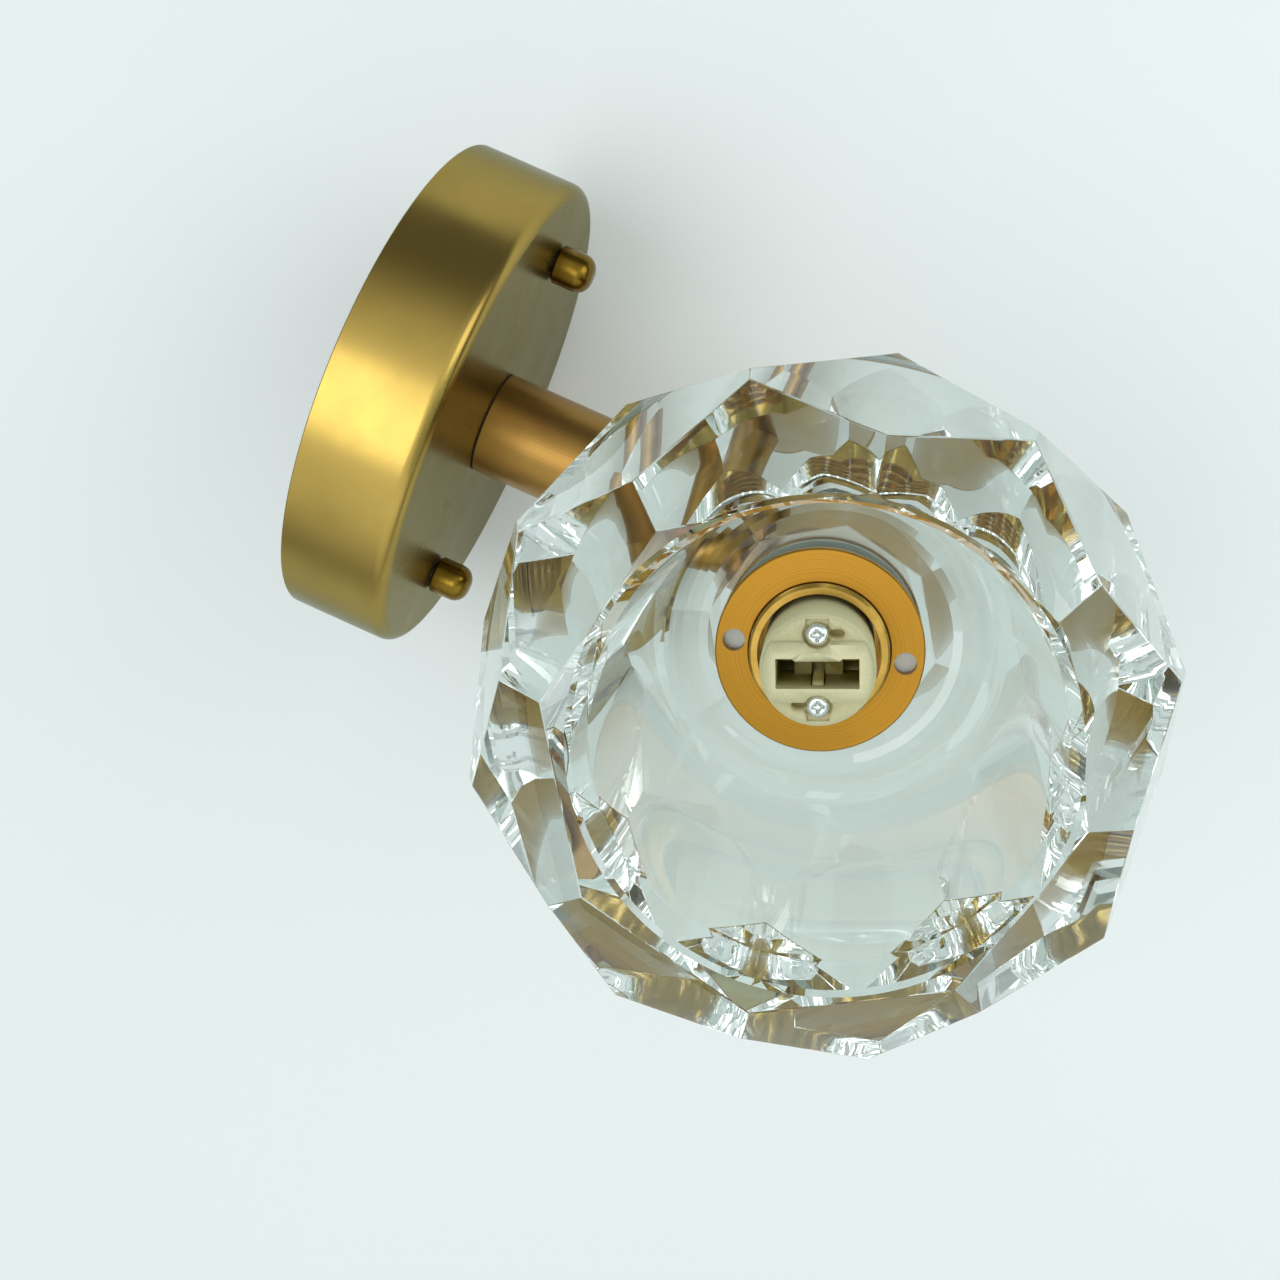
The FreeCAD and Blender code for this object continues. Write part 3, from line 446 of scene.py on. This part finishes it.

# Painted shade in the seam: a matt, nearly black line between the arm and the canopy.
seam_painted_shade, tree = new_material("arm_seam_painted_shade")
where = add_node(tree, "ShaderNodeTexCoord").outputs["Object"]
weave = add_node(tree, "ShaderNodeTexNoise", {
    "Vector": where,
    "Scale": 1 / seam_shade_mottle,
    "Detail": 3.0,
})
colour = add_node(tree, "ShaderNodeMix", {
    "Factor": weave.outputs["Fac"],
    "A": seam_shade_dark,
    "B": seam_shade_pale,
}, data_type="RGBA")
shader = add_node(tree, "ShaderNodeBsdfPrincipled", {
    "Base Color": colour.outputs["Result"],
    "Roughness": 0.8,
})
add_node(tree, "ShaderNodeOutputMaterial", {"Surface": shader.outputs["BSDF"]})

# A dark ring of painted shade between the arm's end and the canopy.
shape = turned_shape((
    (seat_inner, 0.0),
    (seat_outer, 0.0),
    (seat_outer, seat_thickness),
    (seat_inner, seat_thickness),
), steps=96)
bmesh.ops.rotate(shape, verts=shape.verts, matrix=into_room)
bmesh.ops.translate(shape, verts=shape.verts, vec=(0.0, -canopy_depth, 0.0))
seat = made_piece("arm_seam_shade_ring", shape, seam_painted_shade)
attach(seat, "sconce")

for node in ("arm_wall_bush", "arm_cup_bush", "earth_screw", "contact_clips"):
    give(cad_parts[node], turned_brass)


# --- cup and its turned ends --------------------------------------------------
# Upright brass tube, closed below by a foot cap and above by the lid that is the
# seat of the crystal, both turned from bar.

cup_line = 0.3 * MM
cup_cloud = 11.11 * MM
cup_light = linear("#b6975a")
cup_dark = linear("#99793f")

# Brass turned bright on the lathe: clear reflections, broken by faint circles. They
# are drawn coarser than they are, so that they show.
bright_brass, tree = new_material("bright_brass_cup")
where = add_node(tree, "ShaderNodeTexCoord").outputs["Object"]
apart = add_node(tree, "ShaderNodeSeparateXYZ", {"Vector": where})
lines = add_node(tree, "ShaderNodeTexNoise", {
    "W": apart.outputs["Z"],
    "Scale": 1 / cup_line,
    "Detail": 3.0,
    "Roughness": 0.7,
}, noise_dimensions="1D")
clouds = add_node(tree, "ShaderNodeTexNoise", {
    "Vector": where,
    "Scale": 1 / cup_cloud,
    "Detail": 3.0,
})
colour = add_node(tree, "ShaderNodeMix", {
    "Factor": clouds.outputs["Fac"],
    "A": cup_light,
    "B": cup_dark,
}, data_type="RGBA")
bump = add_node(tree, "ShaderNodeBump", {
    "Height": lines.outputs["Fac"],
    "Strength": 0.3,
    "Distance": brass_line_depth,
})
shader = add_node(tree, "ShaderNodeBsdfPrincipled", {
    "Base Color": colour.outputs["Result"],
    "Metallic": 1.0,
    "Roughness": 0.14,
    "Normal": bump.outputs["Normal"],
})
add_node(tree, "ShaderNodeOutputMaterial", {"Surface": shader.outputs["BSDF"]})

for node in ("socket_cup", "cup_base_cap"):
    piece = merged_copy(node, node + "_bright", bright_brass)
    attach(piece, "sconce")

lid = merged_copy("cup_lid", "cup_lid_turned", satin_brass)
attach(lid, "sconce")


# --- threaded sleeve ----------------------------------------------------------
# Brass sleeve turned from bar, closed at its foot, with a 1 mm thread cut on its
# upper part and a broken edge at its rim.

sleeve_low, sleeve_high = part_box("socket_sleeve")
sleeve_radius = (sleeve_high.x - sleeve_low.x) / 2
sleeve_top = sleeve_high.z - sleeve_low.z
sleeve_bore = 11.6 * MM
sleeve_hole = 5.2 * MM
sleeve_base = 1.5 * MM
sleeve_chamfer = 0.4 * MM
bore_skin = 0.1 * MM
rim_skin = 0.01 * MM
thread_pitch = 1.0 * MM
thread_depth = 0.5 * MM
thread_start = 9.0 * MM
thread_root_share = 0.45
thread_crest_share = 0.9
sleeve_stain = 2.857 * MM
sleeve_gold = linear("#d2ab57")
sleeve_brown = linear("#9c7833")
# Painted shade for the inside of the sleeve: two near-blacks, mottled.
bore_shade_mottle = 3.333 * MM
bore_painted_shade_brown = linear("#1c1712")
bore_painted_shade_black = linear("#0f0c0a")

# Turned brass, left bright: light gold with browner stains.
sleeve_brass, tree = new_material("threaded_sleeve_brass")
where = add_node(tree, "ShaderNodeTexCoord").outputs["Object"]
stains = add_node(tree, "ShaderNodeTexNoise", {
    "Vector": where,
    "Scale": 1 / sleeve_stain,
    "Detail": 4.0,
})
colour = add_node(tree, "ShaderNodeMix", {
    "Factor": stains.outputs["Fac"],
    "A": sleeve_gold,
    "B": sleeve_brown,
}, data_type="RGBA")
rough = add_node(tree, "ShaderNodeMapRange", {
    "Value": stains.outputs["Fac"],
    "To Min": 0.12,
    "To Max": 0.25,
})
shader = add_node(tree, "ShaderNodeBsdfPrincipled", {
    "Base Color": colour.outputs["Result"],
    "Metallic": 1.0,
    "Roughness": rough.outputs["Result"],
})
add_node(tree, "ShaderNodeOutputMaterial", {"Surface": shader.outputs["BSDF"]})

# Painted shade on the bore: dull and nearly black, so that the gap round the lampholder is
# dark.
bore_painted_shade, tree = new_material("sleeve_bore_painted_shade")
where = add_node(tree, "ShaderNodeTexCoord").outputs["Object"]
stains = add_node(tree, "ShaderNodeTexNoise", {
    "Vector": where,
    "Scale": 1 / bore_shade_mottle,
    "Detail": 3.0,
})
colour = add_node(tree, "ShaderNodeMix", {
    "Factor": stains.outputs["Fac"],
    "A": bore_painted_shade_brown,
    "B": bore_painted_shade_black,
}, data_type="RGBA")
shader = add_node(tree, "ShaderNodeBsdfPrincipled", {
    "Base Color": colour.outputs["Result"],
    "Roughness": 0.5,
})
add_node(tree, "ShaderNodeOutputMaterial", {"Surface": shader.outputs["BSDF"]})

outline = [(sleeve_hole, 0.0), (sleeve_radius, 0.0)]
height = thread_start
while height + thread_pitch < sleeve_top - sleeve_chamfer:
    outline += [
        (sleeve_radius, height),
        (sleeve_radius - thread_depth, height + thread_root_share * thread_pitch),
        (sleeve_radius, height + thread_crest_share * thread_pitch),
    ]
    height += thread_pitch
outline += [
    (sleeve_radius, sleeve_top - sleeve_chamfer),
    (sleeve_radius - sleeve_chamfer, sleeve_top),
    (sleeve_bore, sleeve_top),
    (sleeve_bore, sleeve_base),
    (sleeve_hole, sleeve_base),
]
shape = turned_shape(outline, steps=128)
# The bore's faces below the rim take the painted shade.
for face in shape.faces:
    middle = face.calc_center_median()
    in_bore = math.hypot(middle.x, middle.y) < sleeve_bore + bore_skin
    below_rim = sleeve_base / 2 < middle.z < sleeve_top - rim_skin
    face.material_index = 1 if in_bore and below_rim else 0
sleeve_foot = Vector(((sleeve_low.x + sleeve_high.x) / 2, (sleeve_low.y + sleeve_high.y) / 2,
                      sleeve_low.z))
bmesh.ops.translate(shape, verts=shape.verts, vec=sleeve_foot)
sleeve = made_piece("threaded_sleeve", shape, sleeve_brass)
sleeve.data.materials.append(bore_painted_shade)
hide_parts("socket_sleeve")
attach(sleeve, "sconce")


# --- retaining ring -----------------------------------------------------------
# A flat ring nut faced on the lathe, which clamps the crystal on the sleeve. Two
# drilled holes take the pins of the spanner that tightens it.

ring_low, ring_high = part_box("retaining_ring")
shade_axis = Vector(((ring_low.x + ring_high.x) / 2, (ring_low.y + ring_high.y) / 2, 0.0))
ring_sharp = 12.0
ring_line = 0.22 * MM
ring_gold = linear("#c6953b")
ring_amber = linear("#8e5c15")

# Brass faced on the lathe: orange-gold with fine circles round its middle, drawn
# coarser than they are, so that they show.
faced_brass, tree = new_material("faced_brass_ring")
where = add_node(tree, "ShaderNodeTexCoord").outputs["Object"]
centred = add_node(tree, "ShaderNodeMapping", {"Vector": where, "Location": -shade_axis})
apart = add_node(tree, "ShaderNodeSeparateXYZ", {"Vector": centred.outputs["Vector"]})
flat = add_node(tree, "ShaderNodeCombineXYZ", {
    "X": apart.outputs["X"],
    "Y": apart.outputs["Y"],
})
radius = add_node(tree, "ShaderNodeVectorMath", {0: flat.outputs["Vector"]}, operation="LENGTH")
lines = add_node(tree, "ShaderNodeTexNoise", {
    "W": radius.outputs["Value"],
    "Scale": 1 / ring_line,
    "Detail": 3.0,
    "Roughness": 0.7,
}, noise_dimensions="1D")
colour = add_node(tree, "ShaderNodeMix", {
    "Factor": lines.outputs["Fac"],
    "A": ring_gold,
    "B": ring_amber,
}, data_type="RGBA")
bump = add_node(tree, "ShaderNodeBump", {
    "Height": lines.outputs["Fac"],
    "Strength": 0.5,
    "Distance": brass_line_depth,
})
shader = add_node(tree, "ShaderNodeBsdfPrincipled", {
    "Base Color": colour.outputs["Result"],
    "Metallic": 1.0,
    "Roughness": 0.4,
    "Normal": bump.outputs["Normal"],
})
add_node(tree, "ShaderNodeOutputMaterial", {"Surface": shader.outputs["BSDF"]})

ring = merged_copy("retaining_ring", "ring_nut", faced_brass, ring_sharp)
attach(ring, "ring")


# --- lampholder ---------------------------------------------------------------
# Two pressed and fired steatite ceramics, the cover on the body, held by two
# pan-head screws that stand in the cover's face.

holder_low, holder_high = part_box("lampholder_cover")
holder_radius = (holder_high.y - holder_low.y) / 2
holder_face = holder_high.z
holder_skin = 0.4 * MM
# Painted shade in the slot: it starts this far below the face and is full at the next depth.
painted_shade_start = 1.5 * MM
painted_shade_end = 7.0 * MM
ceramic_light = linear("#ece4c0")
ceramic_dark = linear("#d6cb97")
ceramic_painted_shade = linear("#8c7e3c")
ceramic_grit = 0.5 * MM
ceramic_relief = 0.03 * MM
ceramic_glow = 1.0 * MM
screw_mottle = 0.5 * MM
screw_bright = linear("#f0f2f0")
screw_grey = linear("#cfd3d3")

# Unglazed steatite: cream, gritty and a little waxy, with painted olive shade down in the slot.
# Light passes a little way into it, so that its edges look soft.
steatite, tree = new_material("steatite_ceramic")
where = add_node(tree, "ShaderNodeTexCoord").outputs["Object"]
grit = add_node(tree, "ShaderNodeTexNoise", {
    "Vector": where,
    "Scale": 1 / ceramic_grit,
    "Detail": 5.0,
})
clay = add_node(tree, "ShaderNodeMix", {
    "Factor": grit.outputs["Fac"],
    "A": ceramic_light,
    "B": ceramic_dark,
}, data_type="RGBA")
centred = add_node(tree, "ShaderNodeVectorMath", {0: where, 1: shade_axis},
                   operation="SUBTRACT")
apart = add_node(tree, "ShaderNodeSeparateXYZ", {"Vector": centred.outputs["Vector"]})
flat = add_node(tree, "ShaderNodeCombineXYZ", {
    "X": apart.outputs["X"],
    "Y": apart.outputs["Y"],
})
radius = add_node(tree, "ShaderNodeVectorMath", {0: flat.outputs["Vector"]}, operation="LENGTH")
# Painted shade: inside the holder's outline the colour turns olive, darker with depth below the
# face.
inside = add_node(tree, "ShaderNodeMath", {
    0: radius.outputs["Value"],
    1: holder_radius - holder_skin,
}, operation="LESS_THAN")
deep = add_node(tree, "ShaderNodeMapRange", {
    "Value": apart.outputs["Z"],
    "From Min": holder_face - painted_shade_end,
    "From Max": holder_face - painted_shade_start,
    "To Min": 1.0,
    "To Max": 0.0,
})
painted_slot_shade = add_node(tree, "ShaderNodeMath", {
    0: inside.outputs["Value"],
    1: deep.outputs["Result"],
}, operation="MULTIPLY")
colour = add_node(tree, "ShaderNodeMix", {
    "Factor": painted_slot_shade.outputs["Value"],
    "A": clay.outputs["Result"],
    "B": ceramic_painted_shade,
}, data_type="RGBA")
bump = add_node(tree, "ShaderNodeBump", {
    "Height": grit.outputs["Fac"],
    "Strength": 0.25,
    "Distance": ceramic_relief,
})
shader = add_node(tree, "ShaderNodeBsdfPrincipled", {
    "Base Color": colour.outputs["Result"],
    "Roughness": 0.42,
    "IOR": 1.5,
    "Subsurface Weight": 0.06,
    "Subsurface Radius": (0.4, 0.3, 0.15),
    "Subsurface Scale": ceramic_glow,
    "Normal": bump.outputs["Normal"],
})
add_node(tree, "ShaderNodeOutputMaterial", {"Surface": shader.outputs["BSDF"]})

for node in ("lampholder_body", "lampholder_cover"):
    piece = merged_copy(node, node + "_ceramic", steatite)
    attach(piece, "sconce")

# Fresh zinc plate on the screws: nearly white, with small sharp glints.
bright_zinc, tree = new_material("bright_zinc_screws")
where = add_node(tree, "ShaderNodeTexCoord").outputs["Object"]
mottle = add_node(tree, "ShaderNodeTexNoise", {
    "Vector": where,
    "Scale": 1 / screw_mottle,
    "Detail": 3.0,
})
colour = add_node(tree, "ShaderNodeMix", {
    "Factor": mottle.outputs["Fac"],
    "A": screw_bright,
    "B": screw_grey,
}, data_type="RGBA")
rough = add_node(tree, "ShaderNodeMapRange", {
    "Value": mottle.outputs["Fac"],
    "To Min": 0.12,
    "To Max": 0.3,
})
shader = add_node(tree, "ShaderNodeBsdfPrincipled", {
    "Base Color": colour.outputs["Result"],
    "Metallic": 1.0,
    "Roughness": rough.outputs["Result"],
})
add_node(tree, "ShaderNodeOutputMaterial", {"Surface": shader.outputs["BSDF"]})

screws = merged_copy("socket_screws", "lampholder_screws", bright_zinc)
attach(screws, "sconce")


# --- gaskets and wire bush ----------------------------------------------------
# Soft washers stamped from silicone sheet, one under the bowl and one under the
# ring, which keep brass off the crystal. The bush in the rod's end is nylon.

gasket_hole = 13.7 * MM
gasket_edge = 0.15 * MM
gasket_rest = 0.05 * MM
lower_clearness = 0.5
upper_clearness = 0.1
silicone_haze = 4.0 * MM
silicone_colour = linear("#f4f5f2")
nylon_haze = 0.5 * MM
nylon_light = linear("#ecebe2")
nylon_dark = linear("#d9d7ca")

for node, body, clearness in (
    ("lower_gasket", "sconce", lower_clearness),
    ("upper_gasket", "shade", upper_clearness),
):
    # Silicone sheet: soft and smooth, hazy under the bowl and milky under the ring.
    silicone, tree = new_material(node + "_sheet")
    where = add_node(tree, "ShaderNodeTexCoord").outputs["Object"]
    haze = add_node(tree, "ShaderNodeTexNoise", {
        "Vector": where,
        "Scale": 1 / silicone_haze,
        "Detail": 3.0,
    })
    rough = add_node(tree, "ShaderNodeMapRange", {
        "Value": haze.outputs["Fac"],
        "To Min": 0.02,
        "To Max": 0.12,
    })
    shader = add_node(tree, "ShaderNodeBsdfPrincipled", {
        "Base Color": silicone_colour,
        "Roughness": rough.outputs["Result"],
        "IOR": 1.41,
        "Transmission Weight": clearness,
    })
    path = add_node(tree, "ShaderNodeLightPath")
    through = add_node(tree, "ShaderNodeBsdfTransparent", {"Color": silicone_colour})
    mixed = add_node(tree, "ShaderNodeMixShader", {
        0: path.outputs["Is Shadow Ray"],
        1: shader.outputs["BSDF"],
        2: through.outputs["BSDF"],
    })
    add_node(tree, "ShaderNodeOutputMaterial", {"Surface": mixed.outputs["Shader"]})

    low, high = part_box(node)
    outer = (high.x - low.x) / 2
    shape = turned_shape((
        (gasket_hole, low.z + gasket_rest),
        (outer, low.z + gasket_rest),
        (outer, high.z),
        (gasket_hole, high.z),
    ), roundings=((1, gasket_edge), (2, gasket_edge)), steps=96)
    bmesh.ops.translate(shape, verts=shape.verts, vec=shade_axis)
    gasket = made_piece(node + "_silicone", shape, silicone)
    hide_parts(node)
    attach(gasket, body)

# Moulded nylon: off-white and half matt.
nylon, tree = new_material("moulded_nylon")
where = add_node(tree, "ShaderNodeTexCoord").outputs["Object"]
haze = add_node(tree, "ShaderNodeTexNoise", {
    "Vector": where,
    "Scale": 1 / nylon_haze,
    "Detail": 3.0,
})
colour = add_node(tree, "ShaderNodeMix", {
    "Factor": haze.outputs["Fac"],
    "A": nylon_light,
    "B": nylon_dark,
}, data_type="RGBA")
shader = add_node(tree, "ShaderNodeBsdfPrincipled", {
    "Base Color": colour.outputs["Result"],
    "Roughness": 0.4,
})
add_node(tree, "ShaderNodeOutputMaterial", {"Surface": shader.outputs["BSDF"]})
give(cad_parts["wire_bush"], nylon)


# --- crystal bowl -------------------------------------------------------------
# Thick clear crystal, pressed roughly to shape, hollowed smooth inside and ground
# outside into rows of eight flats, then polished, with its edges slightly broken.

ball_height = 116.4 * MM
facet_count = 8
facet_turn = 11.6

# Each row of flats: its tilt in degrees, its distance from the ball's middle in
# millimetres, and the part of a step that it is turned by.
facet_rows = (
    (49.4, 53.4, 0.5),
    (17.9, 55.3, 0.0),
    (-7.9, 52.9, 0.5),
    (-32.0, 53.6, 0.0),
    (-56.0, 52.59, 0.5),
)
edge_break = 0.25 * MM
blank_radius = 70.0 * MM
grinding_tolerance = 1e-7
speck_size = 0.005 * MM
bowl_turn = math.radians(-24.0)
bowl_offset = 2.4 * MM
bowl_mouth = 37.4 * MM
mouth_break = 0.8 * MM
bowl_lip = 35.2 * MM
bowl_lip_height = 7.0 * MM
lip_round = 0.8 * MM
bowl_floor = 30.5 * MM
bowl_corner = 9.0 * MM
hollow_over = 3.0 * MM
bore_over = 1.0 * MM
polished_sharp = 12.0
facet_sharp = 9.0

crystal_low, crystal_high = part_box("crystal_shade")
ring_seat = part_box("upper_gasket")[0].z
crystal_top = crystal_high.z

# The blank is a plain drum. Each flat is ground off it, and the cut is closed again.
blank = bmesh.new()
bmesh.ops.create_cone(blank, cap_ends=True, segments=64, radius1=blank_radius,
                      radius2=blank_radius, depth=crystal_top - crystal_low.z)
blank_middle = shade_axis + Vector((0.0, 0.0, (crystal_top + crystal_low.z) / 2))
bmesh.ops.translate(blank, verts=blank.verts, vec=blank_middle)
ball_middle = shade_axis + Vector((0.0, 0.0, ball_height))
for tilt, distance, step in facet_rows:
    lean = math.radians(tilt)
    for number in range(facet_count):
        turn = math.radians(facet_turn + (number + step) * 360.0 / facet_count)
        outward = Vector((math.cos(turn) * math.cos(lean), math.sin(turn) * math.cos(lean),
                          math.sin(lean)))
        cut = bmesh.ops.bisect_plane(
            blank, geom=blank.verts[:] + blank.edges[:] + blank.faces[:],
            dist=grinding_tolerance, plane_co=ball_middle + outward * distance * MM,
            plane_no=outward, clear_outer=True)
        rim = [item for item in cut["geom_cut"] if isinstance(item, bmesh.types.BMEdge)]
        bmesh.ops.contextual_create(blank, geom=rim)
bmesh.ops.remove_doubles(blank, verts=blank.verts, dist=speck_size)
bmesh.ops.recalc_face_normals(blank, faces=blank.faces)
bmesh.ops.bevel(blank, geom=blank.edges[:], offset=edge_break, segments=2, profile=0.5,
                affect="EDGES", material=-1)

# The hollow stands a little off the crystal's axis. The bore for the sleeve doesn't.
hollow = turned_shape((
    (0.0, ring_seat),
    (bowl_floor, ring_seat),
    (bowl_lip, crystal_top - bowl_lip_height),
    (bowl_mouth - mouth_break, crystal_top - mouth_break),
    (bowl_mouth, crystal_top),
    (bowl_mouth + hollow_over, crystal_top + hollow_over),
    (0.0, crystal_top + hollow_over),
), roundings=((1, bowl_corner), (2, lip_round)), steps=192)
hollow_shift = Vector((math.cos(bowl_turn), math.sin(bowl_turn), 0.0)) * bowl_offset
bmesh.ops.translate(hollow, verts=hollow.verts, vec=hollow_shift)
bore = turned_shape((
    (0.0, crystal_low.z - bore_over),
    (gasket_hole, crystal_low.z - bore_over),
    (gasket_hole, ring_seat + bore_over),
    (0.0, ring_seat + bore_over),
), steps=96)
for tool in (hollow, bore):
    bmesh.ops.translate(tool, verts=tool.verts, vec=shade_axis)

cord_size = 20.0 * MM
crystal_tint = linear("#dfe8e3")
crystal_cord = linear("#d9e3de")
crystal_shadow = linear("#b2bab8")

# Lead crystal, cut and polished: clear, with a faint green tint and fainter cords from
# the melt. Shadow rays go straight through it, which leaves it a soft, light shadow.
crystal_glass, tree = new_material("cut_crystal")
where = add_node(tree, "ShaderNodeTexCoord").outputs["Object"]
cords = add_node(tree, "ShaderNodeTexNoise", {
    "Vector": where,
    "Scale": 1 / cord_size,
    "Detail": 2.0,
})
colour = add_node(tree, "ShaderNodeMix", {
    "Factor": cords.outputs["Fac"],
    "A": crystal_tint,
    "B": crystal_cord,
}, data_type="RGBA")
shader = add_node(tree, "ShaderNodeBsdfPrincipled", {
    "Base Color": colour.outputs["Result"],
    "Roughness": 0.0,
    "IOR": 1.53,
    "Transmission Weight": 1.0,
})
path = add_node(tree, "ShaderNodeLightPath")
through = add_node(tree, "ShaderNodeBsdfTransparent", {"Color": crystal_shadow})
mixed = add_node(tree, "ShaderNodeMixShader", {
    0: path.outputs["Is Shadow Ray"],
    1: shader.outputs["BSDF"],
    2: through.outputs["BSDF"],
})
add_node(tree, "ShaderNodeOutputMaterial", {"Surface": mixed.outputs["Shader"]})

crystal = made_piece("crystal_bowl", blank, crystal_glass, polished_sharp)
for name, tool in (("bowl_tool", hollow), ("bore_tool", bore)):
    cutter = made_piece(name, tool, crystal_glass, polished_sharp)
    change = crystal.modifiers.new(name, "BOOLEAN")
    change.operation = "DIFFERENCE"
    change.solver = "EXACT"
    change.object = cutter
    changed = crystal.evaluated_get(bpy.context.evaluated_depsgraph_get())
    cut_mesh = bpy.data.meshes.new_from_object(changed)
    crystal.modifiers.clear()
    crystal.data = cut_mesh
    bpy.data.objects.remove(cutter)
crystal.data.set_sharp_from_angle(angle=math.radians(facet_sharp))
give(crystal, crystal_glass)
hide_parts("crystal_shade")
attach(crystal, "shade")


# --- floor and light ----------------------------------------------------------
# A plain pale floor under the sconce and large soft lamps. The camera sees an even
# pale room. What metal mirrors is brighter overhead than at the sides, so that brass
# shows light and dark, and glass shows a blend of the two.

floor_height = canopy_low.z - 0.5 * MM
floor_size = 4.0
floor_colour = linear("#e6ebea")
room_colour = linear("#e8eff0")
even_strength = 0.85
side_strength = 0.2
top_strength = 1.5
bright_side = Vector((-0.3, -0.15, 0.94))
side_facing = 0.1
top_facing = 0.85
glass_share = 0.6

# Each lamp: its name, its place, the point that it faces, its width in metres and
# its watts.
lamps = (
    ("room_lamp", (0.5, -0.7, 0.6), (0.0, -0.2, -0.06), 0.7, 2.2),
    ("top_lamp", (-0.12, 0.28, 1.1), (0.0, -0.1, 0.0), 0.75, 3.4),
)

pale_floor, tree = new_material("pale_floor")
shader = add_node(tree, "ShaderNodeBsdfPrincipled", {
    "Base Color": floor_colour,
    "Roughness": 0.7,
})
add_node(tree, "ShaderNodeOutputMaterial", {"Surface": shader.outputs["BSDF"]})

shape = bmesh.new()
bmesh.ops.create_grid(shape, x_segments=1, y_segments=1, size=floor_size / 2)
bmesh.ops.translate(shape, verts=shape.verts, vec=(0.0, 0.0, floor_height))
floor = made_piece("floor", shape, pale_floor)

world = bpy.data.worlds.new("room")
bpy.context.scene.world = world
world.use_nodes = True
world.node_tree.nodes.clear()
tree = world.node_tree
outward = add_node(tree, "ShaderNodeTexCoord").outputs["Generated"]
facing = add_node(tree, "ShaderNodeVectorMath", {0: outward, 1: bright_side},
                  operation="DOT_PRODUCT")
mirrored = add_node(tree, "ShaderNodeMapRange", {
    "Value": facing.outputs["Value"],
    "From Min": side_facing,
    "From Max": top_facing,
    "To Min": side_strength,
    "To Max": top_strength,
}, interpolation_type="SMOOTHSTEP")
path = add_node(tree, "ShaderNodeLightPath")
bare = add_node(tree, "ShaderNodeMath", {
    0: path.outputs["Is Diffuse Ray"],
    1: path.outputs["Is Camera Ray"],
}, operation="MAXIMUM")
glass = add_node(tree, "ShaderNodeMath", {
    0: path.outputs["Is Transmission Ray"],
    1: glass_share,
}, operation="MULTIPLY")
even = add_node(tree, "ShaderNodeMath", {
    0: bare.outputs["Value"],
    1: glass.outputs["Value"],
}, operation="MAXIMUM")
strength = add_node(tree, "ShaderNodeMix", {
    "Factor": even.outputs["Value"],
    "A": mirrored.outputs["Result"],
    "B": even_strength,
})
room = add_node(tree, "ShaderNodeBackground", {
    "Color": room_colour,
    "Strength": strength.outputs["Result"],
})
add_node(tree, "ShaderNodeOutputWorld", {"Surface": room.outputs["Background"]})

for name, place, target, width, watts in lamps:
    lamp_data = bpy.data.lights.new(name, "AREA")
    lamp_data.shape = "DISK"
    lamp_data.size = width
    lamp_data.energy = watts
    lamp = bpy.data.objects.new(name, lamp_data)
    bpy.context.scene.collection.objects.link(lamp)
    aim = Vector(place) - Vector(target)
    lamp.matrix_world = aim.to_track_quat("Z", "Y").to_matrix().to_4x4()
    lamp.location = place
